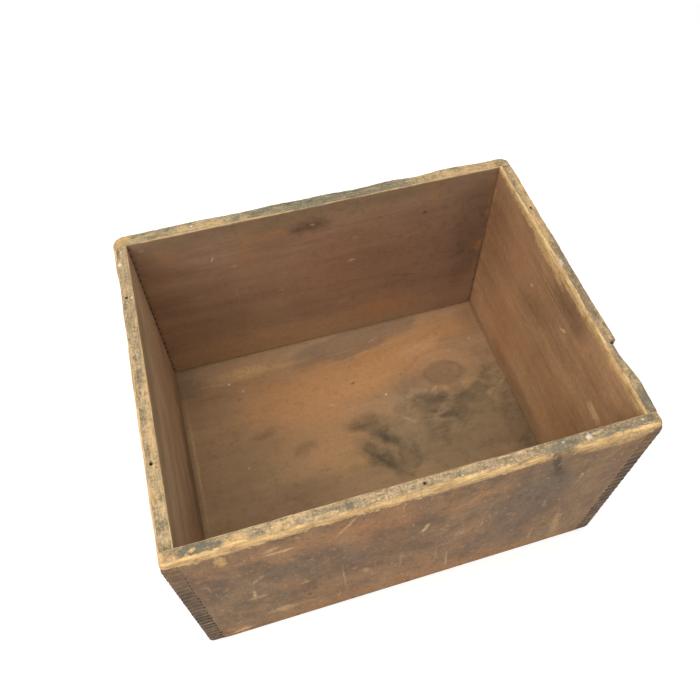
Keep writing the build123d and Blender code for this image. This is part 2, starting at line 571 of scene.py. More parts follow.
def joined(solids: Sequence[tuple[np.ndarray, list]]) -> tuple[np.ndarray, list]:
    """Puts several solids into one list of points and faces.

    Args:
        solids: Points and faces of each solid.

    Returns:
        All points, and all faces numbered to match.
    """
    faces: list = []
    start = 0
    for points, own_faces in solids:
        faces.extend([[number + start for number in face] for face in own_faces])
        start += len(points)
    return np.concatenate([points for points, _ in solids]), faces


def cut_away(piece: bpy.types.Object, cutter: bpy.types.Object) -> None:
    """Cuts one object's solids out of another and keeps the result as the piece's mesh.

    Args:
        piece: The object that is cut.
        cutter: The object whose solids are removed from it.
    """
    modifier = piece.modifiers.new("cut", "BOOLEAN")
    modifier.operation = "DIFFERENCE"
    modifier.solver = "EXACT"
    modifier.object = cutter
    bpy.context.view_layer.update()
    evaluated = piece.evaluated_get(bpy.context.evaluated_depsgraph_get())
    mesh = bpy.data.meshes.new_from_object(evaluated)
    piece.modifiers.remove(modifier)
    old = piece.data
    piece.data = mesh
    mesh.name = old.name
    bpy.data.meshes.remove(old)
    shade_mesh(mesh, CREASE)


class Wire:
    """A value, vector or colour on its way between the nodes of one finish."""

    def __init__(self, tree: "NodeTree", socket: bpy.types.NodeSocket) -> None:
        """Keeps the socket that the value comes out of."""
        self.tree = tree
        self.socket = socket

    def __add__(self, other: "Wire | float") -> "Wire":
        """This value plus another."""
        return self.tree.math("ADD", self, other)

    def __sub__(self, other: "Wire | float") -> "Wire":
        """This value less another."""
        return self.tree.math("SUBTRACT", self, other)

    def __rsub__(self, other: float) -> "Wire":
        """A number less this value."""
        return self.tree.math("SUBTRACT", other, self)

    def __mul__(self, other: "Wire | float") -> "Wire":
        """This value times another."""
        return self.tree.math("MULTIPLY", self, other)

    def __truediv__(self, other: "Wire | float") -> "Wire":
        """This value over another."""
        return self.tree.math("DIVIDE", self, other)

    def step(self, low: float, high: float, top: float = 1.0) -> "Wire":
        """Smooth step from 0 at low to top at high, as 3t squared less 2t cubed.

        Args:
            low: Value that gives 0, which may be the higher one.
            high: Value that gives the top.
            top: What the step rises to.

        Returns:
            The stepped value.
        """
        ends = (low, high, 0.0, top) if low < high else (high, low, top, 0.0)
        inputs = {"Value": self, **dict(zip(("From Min", "From Max", "To Min", "To Max"), ends))}
        return self.tree.wire("MapRange", inputs, "Result", interpolation_type="SMOOTHSTEP")

    def size(self) -> "Wire":
        """This value without its sign."""
        return self.tree.math("ABSOLUTE", self)


class NodeTree:
    """Short names for the shader nodes that the finishes and the studio are made of."""

    def __init__(self, owner: "bpy.types.Material | bpy.types.World") -> None:
        """Empties the node tree of a material or a world.

        Args:
            owner: The material or world that has the tree.
        """
        owner.use_nodes = True
        self.owner = owner
        self.nodes = owner.node_tree.nodes
        self.links = owner.node_tree.links
        self.nodes.clear()

    def node(self, kind: str, inputs: dict | None = None, **settings: object) -> bpy.types.Node:
        """Adds a node.

        Args:
            kind: Blender's name of the node type, after the words ShaderNode.
            inputs: Values or wires for its sockets, by name or number.
            settings: Settings of the node itself.

        Returns:
            The node.
        """
        made = self.nodes.new("ShaderNode" + kind)
        for key, value in settings.items():
            setattr(made, key, value)
        for key, value in (inputs or {}).items():
            if isinstance(value, Wire):
                self.links.new(value.socket, made.inputs[key])
            else:
                made.inputs[key].default_value = value
        return made

    def wire(self, kind: str, inputs: dict | None = None, output: int | str = 0, **settings: object) -> Wire:
        """Adds a node, as above, and gives the wire out of one of its outputs."""
        return Wire(self, self.node(kind, inputs, **settings).outputs[output])

    def math(self, operation: str, first: Wire | float, second: Wire | float = 0.0) -> Wire:
        """One arithmetic step on two values."""
        return self.wire("Math", {0: first, 1: second}, operation=operation)

    def vector(self, operation: str, first: Wire, second: Wire | tuple) -> Wire:
        """One arithmetic step on two vectors."""
        return self.wire("VectorMath", {0: first, 1: second}, operation=operation)

    def scaled(self, where: Wire, factor: Wire | float) -> Wire:
        """A vector or a colour times a value."""
        return self.wire("VectorMath", {0: where, "Scale": factor}, operation="SCALE")

    def length(self, where: Wire) -> Wire:
        """Length of a vector."""
        return self.wire("VectorMath", {0: where}, "Value", operation="LENGTH")

    def largest(self, values: Sequence[Wire]) -> Wire:
        """The largest of several values."""
        return reduce(lambda first, second: self.math("MAXIMUM", first, second), values)

    def combine(self, x: Wire | float, y: Wire | float, z: Wire | float) -> Wire:
        """A vector from its three parts."""
        return self.wire("CombineXYZ", {0: x, 1: y, 2: z})

    def separate(self, where: Wire) -> tuple[Wire, Wire, Wire]:
        """The three parts of a vector."""
        outputs = self.node("SeparateXYZ", {0: where}).outputs
        return Wire(self, outputs[0]), Wire(self, outputs[1]), Wire(self, outputs[2])

    def millimetres(self) -> Wire:
        """The place on the object in millimetres."""
        return self.scaled(self.wire("TexCoord", output="Object"), MILLIMETRES)

    def noise(self, where: Wire, size: float | tuple, detail: float = 2.0, roughness: float = 0.5,
              distortion: float = 0.0) -> Wire:
        """Noise of 0 to 1 whose spots are about one size across.

        Args:
            where: Place in millimetres.
            size: Size of a spot in millimetres, or one size for each direction.
            detail: How many finer layers are added.
            roughness: Strength of each finer layer.
            distortion: How far the pattern is pulled about by itself.

        Returns:
            The noise.
        """
        sizes = size if isinstance(size, tuple) else (size, size, size)
        place = self.vector("MULTIPLY", where, tuple(1.0 / part for part in sizes))
        return self.wire("TexNoise", {"Vector": place, "Scale": 1.0, "Detail": detail, "Roughness": roughness,
                                      "Distortion": distortion})

    def warped(self, where: Wire, size: float, reach: float, detail: float = 2.0) -> Wire:
        """Places pushed about by noise, so that outlines on them come out ragged.

        Args:
            where: Place in millimetres.
            size: Size of the noise's spots.
            reach: How far a place may be pushed each way.
            detail: How many finer layers the noise has.

        Returns:
            The pushed places.
        """
        inputs = {"Vector": self.scaled(where, 1.0 / size), "Scale": 1.0, "Detail": detail, "Roughness": 0.55}
        centred = self.vector("SUBTRACT", self.wire("TexNoise", inputs, "Color"), (0.5, 0.5, 0.5))
        return self.vector("ADD", where, self.scaled(centred, 2.0 * reach))

    def mix(self, amount: Wire, under: Wire | Colour, over: Wire | Colour) -> Wire:
        """Lays one colour over another by an amount of 0 to 1."""
        return self.wire("Mix", {0: amount, 6: under, 7: over}, 2, data_type="RGBA")

    def surface(self, colour: Wire, roughness: Wire, relief: Wire, gloss: float) -> bpy.types.Material:
        """Ends the tree in a surface.

        Args:
            colour: Its colour.
            roughness: How dull it is.
            relief: Height of its fine relief in millimetres.
            gloss: Strength of its shine, where 0.5 is plain.

        Returns:
            The finished material.
        """
        bump = self.wire("Bump", {"Height": relief, "Distance": 1.0 / MILLIMETRES, "Strength": 1.0})
        shader = self.wire("BsdfPrincipled", {"Base Color": colour, "Roughness": roughness, "Normal": bump,
                                              "Specular IOR Level": gloss})
        self.node("OutputMaterial", {0: shader})
        return self.owner


class Tone(Enum):
    """Colours of the marks that use has left on the wood, and of pale bands painted low on inner walls as
    bounce light, in the order that they lie on each other.
    """

    ORANGE = shade(186, 134, 84)
    RED = shade(158, 106, 72)
    BROWN = shade(98, 74, 54)
    OLIVE = shade(128, 112, 80)
    GREY = shade(118, 100, 82)
    PURPLE = shade(120, 98, 80)
    SLATE = shade(92, 91, 78)
    DUST_AND_BOUNCE_LIGHT = shade(178, 150, 116)
    CREAM = shade(224, 188, 146)
    SMOKE = shade(80, 70, 52)
    DARK = shade(58, 48, 38)
    OCHRE = shade(212, 170, 112)
    PALE = shade(214, 176, 130)
    WHITE = shade(232, 222, 200)


FINE_TONES = (Tone.DARK, Tone.OCHRE, Tone.PALE, Tone.WHITE)
FINGER_ZONE = (6.0, 9.0)
SEED_STRIDES = (137.0, 71.0, 53.0)

WARM_HUE = shade(162, 116, 70)
COOL_HUE = shade(110, 94, 74)
PALE_GRAIN = shade(178, 140, 98)
JOINT_DARK = shade(106, 84, 64)
JOINT_LIGHT = shade(146, 114, 82)
GRIME = shade(92, 80, 63)
END_GRAIN = shade(60, 52, 42)
CORNER_HOLE_SHADE = shade(40, 32, 26)
CORNER_SHADE_AND_DIRT = shade(84, 70, 52)
FLOOR_SHADE_AND_DIRT = shade(78, 64, 48)
SWIRL_PALE = shade(176, 148, 110)
SWIRL_DARK = shade(100, 84, 60)
HALO = shade(186, 140, 96)
KNOT_WOOD = shade(122, 90, 68)
BARE_DARK = shade(178, 142, 96)
BARE_LIGHT = shade(222, 186, 130)
PIT = shade(52, 42, 34)
NICK = shade(206, 168, 124)
SCUFF_PALE = shade(200, 158, 114)
SCUFF_DARK = shade(88, 70, 55)
RUST_DARK = shade(70, 56, 46)
RUST_LIGHT = shade(118, 84, 58)
RUST_GRAIN = shade(150, 100, 62)


@dataclass(frozen=True)
class Mark:
    """An elliptical mark on one side of a board.

    Its place and half sizes are in millimetres: along and up on an outer or inner side,
    along and depth behind the outer face on the rim, and x and y on the floor.
    """

    tone: Tone
    along: float
    up: float
    half_along: float
    half_up: float
    turn: float
    strength: float
    blur: float

    def amount(self, along: np.ndarray, up: np.ndarray) -> np.ndarray:
        """How strong the mark is: its strength inside the ellipse, falling smoothly to 0 over a blurred edge.

        Args:
            along: Places along the board.
            up: Places up or across it.

        Returns:
            The mark's strength at each place.
        """
        cosine, sine = math.cos(math.radians(self.turn)), math.sin(math.radians(self.turn))
        off_along, off_up = along - self.along, up - self.up
        first = (off_along * cosine + off_up * sine) / self.half_along
        second = (off_up * cosine - off_along * sine) / self.half_up
        return self.strength * smooth_step(np.hypot(first, second), 1.0 + self.blur, 1.0 - self.blur)


def marks(*groups: tuple) -> tuple[Mark, ...]:
    """Marks from groups of a tone and its rows of (along, up, half along, half up, turn, strength, blur)."""
    return tuple(Mark(tone, *map(float, row)) for tone, *rows in groups for row in rows)


def washed(
    own: Sequence[Mark], along: np.ndarray, up: np.ndarray, seed: int, wave: float = 4.0,
) -> np.ndarray:
    """Blends the broad marks of one side, with wavy outlines, each laid over those before it.

    Args:
        own: All marks of the side.
        along: Places along the board.
        up: Places up or across it.
        seed: Picks the waves.
        wave: How far the outlines may stray in millimetres.

    Returns:
        Colour times cover, and cover, at each place.
    """
    places = np.stack([along, up, np.zeros_like(along)], axis=1)
    wavy_along = along + wave * (ripple(places, 30.0, seed) + 0.4 * ripple(places, 9.0, seed + 1))
    wavy_up = up + wave * (ripple(places, 28.0, seed + 2) + 0.4 * ripple(places, 8.0, seed + 3))
    blend = np.zeros((len(along), 4))
    for mark in own:
        if mark.tone not in FINE_TONES:
            cover = mark.amount(wavy_along, wavy_up)[:, None]
            blend = blend * (1.0 - cover) + cover * np.array(mark.tone.value)
    return blend


@dataclass(frozen=True)
class Palette:
    """The two colours that the grain of one side runs between."""

    dark: Colour
    light: Colour


@dataclass(frozen=True)
class Bare:
    """How far bare wood shows from an arris, across the rim and down the side."""

    across: float
    below: float
    strength: float = 1.0


@dataclass(frozen=True)
class Knot:
    """A knot that the grain flows round."""

    place: tuple[float, float]
    half: tuple[float, float]
    ring: float = 3.2


@dataclass(frozen=True)
class WoodFinish:
    """Old bare softwood, browned by handling, with bare wood on its worn arrises and painted shade with dirt
    in its corners.
    """

    name: str
    lie: Lie
    seed: float
    # The inner palette holds the inner sides' own tones, set lighter as painted light against the shade
    # inside the box.
    inner: Palette
    rim: Palette
    outer: Palette = Palette(shade(112, 84, 62), shade(150, 118, 88))
    outer_bare: Bare = Bare(1.2, 4.0)
    inner_bare: Bare = Bare(1.0, 1.0)
    outer_marks: tuple[Mark, ...] = ()
    inner_marks: tuple[Mark, ...] = ()
    rim_marks: tuple[Mark, ...] = ()
    unworn: tuple[Mark, ...] = ()
    knot: Knot | None = None
    rim_ochre: float = 0.5
    grain: float = 1.0
    outer_grain: float = 1.3
    rubbing: float = 0.45
    outer_scuffs: float = 0.4
    inner_scuffs: float = 0.3
    sand: float = 0.5
    corner_holes: float = 0.0

    def wash(self, points: np.ndarray, sizes: BoxSizes) -> np.ndarray:
        """Broad marks at the board's own points, for the coat to read.

        Args:
            points: Places in the box.
            sizes: The box's sizes.

        Returns:
            Colour times cover, and cover, at each place.
        """
        seed = int(self.seed) * 10
        along, up, depth = sizes.own_parts(self.lie, points.T)
        outer = washed(self.outer_marks, along, up, seed)
        inner = washed(self.inner_marks, along, up, seed + 4, 2.4)
        low, high = (0.6, 0.4) if self.lie is Lie.BOTTOM else (0.4, 0.6)
        thickness = sizes.thickness(self.lie)
        inward = smooth_step(depth, thickness * low, thickness * high)[:, None]
        if self.lie is Lie.BOTTOM:
            return outer * (1.0 - inward) + inner * inward
        inward *= smooth_step(sizes.half_length(self.lie) - np.abs(along), *FINGER_ZONE)[:, None]
        rim = washed(self.rim_marks, along, depth, seed + 8, 0.9)
        on_rim = smooth_step(sizes.height - up, 2.6, 1.0)[:, None]
        side = outer * (1.0 - inward) + inner * inward
        return side * (1.0 - on_rim) + rim * on_rim

    def build(self, sizes: BoxSizes) -> bpy.types.Material:
        """Makes the material, for a box of these sizes."""
        return Coat(self, sizes).material()


class Coat:
    """The coat on one board: the places and noises that it reads, its relief, and its colour so far."""

    def __init__(self, finish: WoodFinish, sizes: BoxSizes) -> None:
        """Makes the node tree with its places and noises.

        Args:
            finish: The finish that the coat is for.
            sizes: The box's sizes.
        """
        self.finish = finish
        self.sizes = sizes
        self.upright = finish.lie is not Lie.BOTTOM
        self.tree = tree = NodeTree(bpy.data.materials.new(finish.name))
        self.where = tree.millimetres()
        self.x, self.y, self.z = parts = tree.separate(self.where)
        self.along, self.across, self.depth = sizes.own_parts(finish.lie, parts)
        shift = tuple(finish.seed * stride for stride in SEED_STRIDES)
        self.seeded = tree.vector("ADD", self.where, shift)

        # Grain in three sizes, and faint lines of late wood along the levels of the widest
        bent, self.radii = self._flow()
        self.grain_place = tree.combine(self.along + shift[0], bent + shift[1], self.depth)
        self.wide_grain = tree.noise(self.grain_place, (150.0, 15.0, 15.0), 3.0, 0.55, 0.4)
        self.mid_grain = tree.noise(self.grain_place, (42.0, 2.6, 2.6), 3.0, 0.6)
        self.fine_grain = tree.noise(self.grain_place, (13.0, 0.7, 0.7), 2.0, 0.6)
        self.late_wood = tree.math("PINGPONG", self.wide_grain * 11.0, 0.5).step(0.14, 0.0)
        self.broad = tree.noise(self.seeded, 60.0, 3.0, 0.55)
        self.mottle = tree.noise(self.seeded, 9.0, 5.0, 0.62)
        self.speckle = tree.noise(self.seeded, 2.0, 3.0, 0.6)
        self.grit = tree.noise(self.seeded, 0.9, 2.0, 0.6)
        self.rubs, self.wide_rubs = self.speckle, self.broad
        if self.upright:
            self.rubs = tree.noise(self.seeded, (1.4, 1.4, 16.0), 2.0, 0.6)
            self.wide_rubs = tree.noise(self.seeded, (24.0, 24.0, 52.0), 4.0, 0.6)
        self.streaks = tree.noise(self.grain_place, (16.0, 2.2, 2.2), 4.0, 0.65)
        self.pits = tree.noise(self.grain_place, (4.5, 0.9, 0.9), 1.0).step(0.73, 0.79)
        self.fine_place = tree.warped(tree.combine(self.along, self.across, 0.0), 6.0, 2.6, 4.0)
        self._find_zones()
        self.relief = self.mid_grain * 0.22 + self.fine_grain * 0.10 + self.mottle * 0.25
        self.relief = self.relief - self.pits * 0.25 - self.late_wood * 0.03
        self.colour = self._plain()

    def _find_zones(self) -> None:
        """Finds where the surface lies: on the rim, on the outer side, or on the inner one."""
        finish, sizes = self.finish, self.sizes
        thickness = sizes.thickness(finish.lie)
        self.top = sizes.height - self.z
        outward_x = sizes.outer[Lie.RIGHT] - self.x.size()
        outward_y = sizes.outer[Lie.BACK] - self.y.size()
        self.outer_depth = self.tree.math("MINIMUM", outward_x, outward_y)
        self.inner_depth = thickness - self.depth
        if self.upright:
            self.on_rim = self.top.step(2.4, 0.9)
            self.to_end = sizes.half_length(finish.lie) - self.along.size()
            inward = self.inner_depth.step(thickness * 0.5 + 0.5, thickness * 0.5 - 0.5)
            self.on_inner = inward * self.to_end.step(*FINGER_ZONE)
        else:
            self.on_rim = self.top.step(-1.0, -2.0)
            self.on_inner = self.depth.step(4.0, 3.0)
        self.on_outer = 1.0 - self.on_inner
        self.graininess = self.on_inner * finish.grain + self.on_outer * finish.outer_grain
        self.below_rim = 1.0 - self.on_rim

    def _flow(self) -> tuple[Wire, Wire | None]:
        """Bends the grain round the knot, where the board has one.

        Outside the knot the distance across the grain from its middle is multiplied by one less
        the inverse square of the distance in knot radii, as a stream flows round a post. Inside
        it counts rings.

        Returns:
            The bent distance across the grain, and the distance from the knot's middle in knot radii.
        """
        tree, knot = self.tree, self.finish.knot
        if knot is None:
            return self.across, None
        (middle_along, middle_across), (half_along, half_across) = knot.place, knot.half
        off = self.across - middle_across
        first = (self.along - middle_along) / half_along
        second = off / half_across
        radii = tree.math("SQRT", first * first + second * second)
        outside = tree.math("MAXIMUM", radii, 1.0)
        flowed = off * (1.0 - tree.math("DIVIDE", 1.0, outside * outside))
        rings = tree.math("MAXIMUM", 1.0 - radii, 0.0) * (half_across * 1.6)
        return flowed + rings + middle_across, radii

    def _lay(self, amount: Wire, over: Wire | Colour) -> None:
        """Lays a colour over the coat by an amount of 0 to 1."""
        self.colour = self.tree.mix(amount, self.colour, over)

    def _dim(self, amount: Wire) -> None:
        """Multiplies the coat by an amount."""
        self.colour = self.tree.scaled(self.colour, amount)

    def _plain(self) -> Wire:
        """Colour of the board's sides and rim before any mark.

        Returns:
            The colour.
        """
        finish, tree = self.finish, self.tree
        grain_tone = (self.wide_grain * 0.6 + self.mid_grain * 0.4 - 0.5) * self.graininess
        rub_tone = (self.wide_rubs * 0.9 + self.rubs * 0.1 - 0.5) * self.on_outer * finish.rubbing
        tone = (grain_tone + rub_tone + self.broad * 0.5 + self.mottle * 0.35 + 0.075).step(0.25, 0.75)
        outer = tree.mix(tone, finish.outer.dark, finish.outer.light)
        # The inner sides' lighter palette is painted light that lifts the shade inside the box.
        inner = tree.mix(tone, finish.inner.dark, finish.inner.light)
        rim_tone = (self.mottle * 0.38 + self.streaks * 0.3 + self.speckle * 0.32).step(0.38, 0.65)
        rim = tree.mix(rim_tone, finish.rim.dark, finish.rim.light)
        hue = tree.noise(tree.vector("ADD", self.seeded, (31.0, 67.0, 11.0)), (26.0, 26.0, 40.0), 4.0, 0.6)
        outer = tree.mix(hue.step(0.50, 0.72) * 0.5, outer, WARM_HUE)
        outer = tree.mix(hue.step(0.50, 0.30) * 0.5, outer, COOL_HUE)
        inner = tree.mix(self.wide_grain.step(0.52, 0.75) * 0.3, inner, PALE_GRAIN)
        return tree.mix(self.on_rim, tree.mix(self.on_inner, outer, inner), rim)

    def _add_wash(self) -> None:
        """Lays on the broad marks from the board's points, broken up a little by mottling."""
        tree = self.tree
        wash = tree.node("Attribute", attribute_name="wash")
        uneven = (self.mottle * 0.6 + self.mid_grain * 0.4).step(0.32, 0.62) * 0.45 + 0.55
        self._dim(1.0 - Wire(tree, wash.outputs["Alpha"]) * uneven)
        self.colour = tree.vector("ADD", self.colour, tree.scaled(Wire(tree, wash.outputs["Color"]), uneven))

    def _add_texture(self) -> None:
        """Dims and lights the coat by its grain, its mottling, its sandy speckle and its rubbed streaks."""
        finish = self.finish
        dim = 1.0 - (self.late_wood * 0.06 + self.fine_grain.step(0.52, 0.3) * 0.1) * self.graininess
        dim = dim - self.mottle.step(0.5, 0.7) * 0.14 + (self.speckle - 0.5) * (finish.sand * 1.1)
        dim = dim - self.mottle.step(0.5, 0.35) * (self.on_outer + self.on_rim) * 0.12
        rubbed = self.rubs.step(0.62, 0.8) * self.on_outer * (0.16 * finish.rubbing)
        self._dim(dim + (self.grit - 0.5) * finish.sand + rubbed)

    def _spot(self, place: Wire, mark: Mark) -> Wire:
        """One mark's ellipse: its strength inside, falling to 0 over its blurred edge.

        Args:
            place: Place on the side.
            mark: The mark.

        Returns:
            The mark's strength.
        """
        inputs = {
            "Vector": place,
            "Location": (mark.along, mark.up, 0.0),
            "Rotation": (0.0, 0.0, math.radians(mark.turn)),
            "Scale": (mark.half_along, mark.half_up, 1.0),
        }
        moved = self.tree.wire("Mapping", inputs, vector_type="TEXTURE")
        return self.tree.length(moved).step(1.0 + mark.blur, 1.0 - mark.blur, mark.strength)

    def _add_spots(self) -> None:
        """Lays on the fine marks of each side, tone by tone, where a tone takes the largest of its marks."""
        finish, tree = self.finish, self.tree
        flaky = (self.mottle * 0.5 + self.speckle * 0.5).step(0.36, 0.6) * 0.7 + 0.3
        sides = [
            (finish.outer_marks, self.fine_place, self.on_outer * self.below_rim),
            (finish.inner_marks, self.fine_place, self.on_inner * self.below_rim),
        ]
        if self.upright:
            rim_place = tree.warped(tree.combine(self.along, self.depth, 0.0), 4.0, 1.8, 4.0)
            sides.append((finish.rim_marks, rim_place, self.on_rim))
        for own, place, side in sides:
            for tone in FINE_TONES:
                spots = [self._spot(place, mark) for mark in own if mark.tone is tone]
                if spots:
                    self._lay(tree.largest(spots) * side * flaky, tone.value)

    def _add_grime_and_shade(self) -> None:
        """Dirties a side at its joints and on end grain, and paints shade with dirt in the box's corners and
        along the floor.
        """
        tree, along, z = self.tree, self.along, self.z
        pitch = self.sizes.height / Joints.rows
        fingers = self.to_end.step(15.0, 11.0) * self.on_outer * self.below_rim
        grime = fingers * self.mottle.step(0.3, 0.7)
        worked_up = tree.math("MAXIMUM", z.step(208.0, 165.0), z.step(240.0, 226.0) * along.step(-1.0, 1.0))
        zone = (tree.noise(self.where, 34.0, 2.0).step(0.36, 0.56) * 0.65 + 0.35) * worked_up
        row = tree.math("FLOOR", z / pitch) + self.finish.seed
        own_tone = tree.wire("TexWhiteNoise", {"W": row}, "Value", noise_dimensions="1D")
        skin_tone = tree.noise(self.where, (16.0, 16.0, 22.0), 5.0, 0.62).step(0.34, 0.66)
        self._lay(fingers * 0.7, tree.mix(skin_tone, JOINT_DARK, JOINT_LIGHT))
        self._lay(grime * (zone * 0.45 + 0.1), GRIME)
        self._lay(self.to_end.step(1.0, 0.6) * self.below_rim * (zone * 0.7 + 0.05), END_GRAIN)
        self._dim((own_tone - 0.6) * grime * zone * 0.5 + 1.0)

        # Inside: the small holes up the corners painted as dark shade, and painted shade with dirt where the
        # sides meet each other and the floor
        to_corner = self.to_end - self.sizes.thickness(Lie.LEFT if self.finish.lie.long else Lie.FRONT)
        end_rows = (tree.math("FRACT", z / (2.0 * pitch)) - 0.75).size().step(0.23, 0.12)
        holes = end_rows * to_corner.step(2.8, 1.4) * self.on_inner * along.step(0.0, -1.0)
        # Dark spots painted as the shade inside the small holes up the corners.
        self._lay(holes * (own_tone * 0.5 + 0.5) * self.finish.corner_holes, CORNER_HOLE_SHADE)
        self._lay((to_corner + self.mottle * 5.0).step(9.0, 2.0) * self.on_inner * 0.35, CORNER_SHADE_AND_DIRT)
        above_floor = z - self.sizes.outer[Lie.BOTTOM] + self.mottle * 4.0
        self._lay(above_floor.step(6.0, 1.5) * self.on_inner * 0.2, FLOOR_SHADE_AND_DIRT)

    def _add_wall_line(self) -> None:
        """Paints shade with dirt on the bottom where it meets the four sides."""
        low, high = self.sizes.floor
        wall_x = self.tree.math("MINIMUM", self.x - low[0], high[0] - self.x)
        wall_y = self.tree.math("MINIMUM", self.y - low[1], high[1] - self.y)
        to_wall = self.tree.math("MINIMUM", wall_x, wall_y) + self.mottle * 5.0
        # Painted shade with dirt along the foot of the four walls.
        self._lay(to_wall.step(7.0, 2.0) * 0.3, FLOOR_SHADE_AND_DIRT)

    def _add_knot(self) -> None:
        """Draws the knot, its pale halo, the rings that flow round it and the swirled stain beside it."""
        tree, mottle, broad, knot = self.tree, self.mottle, self.broad, self.finish.knot
        swirls = tree.noise(tree.warped(self.where, 46.0, 18.0), (30.0, 13.0, 20.0), 4.0, 0.6, 0.7)
        stained = self.radii.step(4.4, 2.0) * (knot.place[1] - self.y).step(-6.0, 30.0)
        self._lay(swirls.step(0.5, 0.64) * stained * 0.5, SWIRL_PALE)
        self._lay(swirls.step(0.5, 0.36) * stained * 0.5, SWIRL_DARK)
        wavy = self.radii + (mottle - 0.5) * 0.5 + (broad - 0.5) * 1.1
        halo = (wavy - 1.3).size().step(0.5, 0.0) * (broad - 0.1).step(0.2, 0.6)
        self._lay(halo * 0.4, HALO)
        flow_rings = tree.math("PINGPONG", wavy * 1.9, 0.5).step(0.08, 0.42) * wavy.step(3.2, 1.2)
        self._dim(1.0 - flow_rings * mottle.step(0.3, 0.6) * 0.12)
        knot_wood = wavy.step(1.25, 0.65)
        knot_rings = tree.math("PINGPONG", wavy * knot.ring + self.wide_grain * 2.0, 0.5).step(0.1, 0.45)
        self._lay(knot_wood * 0.45, KNOT_WOOD)
        self._dim(1.0 - knot_wood * knot_rings * 0.05)

    def _add_bare_wood(self) -> None:
        """Bares the wood on the worn arrises, ragged at its edge and flaked on the rim, and lowers it."""
        finish, tree, mottle, speckle = self.finish, self.tree, self.mottle, self.speckle
        tone = tree.mix(self.streaks.step(0.34, 0.66), BARE_DARK, BARE_LIGHT)
        worn_off = speckle.step(0.52, 0.75) * 0.25 + mottle.step(0.52, 0.72) * 0.2 + (0.5 - self.grit) * 0.4
        bare_wood = tree.scaled(tone, 1.0 - worn_off)
        ragged = (self.broad - 0.5) * 1.6 + (mottle - 0.5) * 2.3 + (speckle - 0.5) * 1.2
        outside = (self.outer_depth, finish.outer_bare, (1.12, 0.86))
        inside = (self.inner_depth, finish.inner_bare, (1.1, 0.84))
        strips = []
        for depth, bare, edge in (outside, inside):
            reach = tree.math("MAXIMUM", depth / bare.across, self.top / bare.below)
            strips.append((reach + ragged).step(*edge, bare.strength))
        flaked = (self.streaks * 0.6 + speckle * 0.4 + self.broad * 0.25).step(0.64, 0.78)
        amount = tree.largest([*strips, flaked * self.on_rim * finish.rim_ochre])
        for mark in finish.unworn:
            amount = amount * (1.0 - self._spot(self.fine_place, mark))
        self._lay(amount, bare_wood)
        self.relief = self.relief - amount * 0.2

    def _add_scuffs(self) -> None:
        """Lays on fine pits, nicks and scuffs all over."""
        tree, finish = self.tree, self.finish
        nicks = tree.noise(self.seeded, (1.6, 1.6, 7.0), 1.0).step(0.74, 0.80) * self.on_outer
        scuffs = tree.noise(tree.warped(self.seeded, 20.0, 5.0), (4.0, 4.0, 9.0), 4.0, 0.7)
        self._lay(self.pits * 0.45, PIT)
        self._lay(nicks * 0.35, NICK)
        scuffed = self.on_outer * self.below_rim * finish.outer_scuffs
        self._lay(scuffs.step(0.56, 0.72) * scuffed, SCUFF_PALE)
        self._lay(scuffs.step(0.44, 0.28) * scuffed, SCUFF_DARK)
        self._dim((scuffs - 0.5) * self.on_inner * finish.inner_scuffs + 1.0)

    def material(self) -> bpy.types.Material:
        """Adds every layer in its order and ends the tree.

        Returns:
            The material.
        """
        self._add_wash()
        self._add_texture()
        self._add_spots()
        if self.upright:
            self._add_grime_and_shade()
        else:
            self._add_wall_line()
        if self.radii is not None:
            self._add_knot()
        if self.upright:
            self._add_bare_wood()
        self._add_scuffs()
        roughness = self.mottle * 0.25 + 0.62 + self.speckle * 0.08
        return self.tree.surface(self.colour, roughness, self.relief, 0.28)


@dataclass(frozen=True)
class IronFinish:
    """Rusted iron wire, browned like the wood round it."""

    name: str = "rusted_nail_iron"

    def build(self) -> bpy.types.Material:
        """Makes the material.

        Returns:
            The material.
        """
        tree = NodeTree(bpy.data.materials.new(self.name))
        where = tree.millimetres()
        rust = tree.noise(where, 1.4, 4.0, 0.65)
        grains = tree.noise(where, 0.35, 2.0, 0.6)
        colour = tree.mix(rust.step(0.35, 0.65), RUST_DARK, RUST_LIGHT)
        colour = tree.mix(grains.step(0.58, 0.75) * 0.5, colour, RUST_GRAIN)
        return tree.surface(colour, rust * 0.25 + 0.62, rust * 0.12 + grains * 0.05, 0.35)


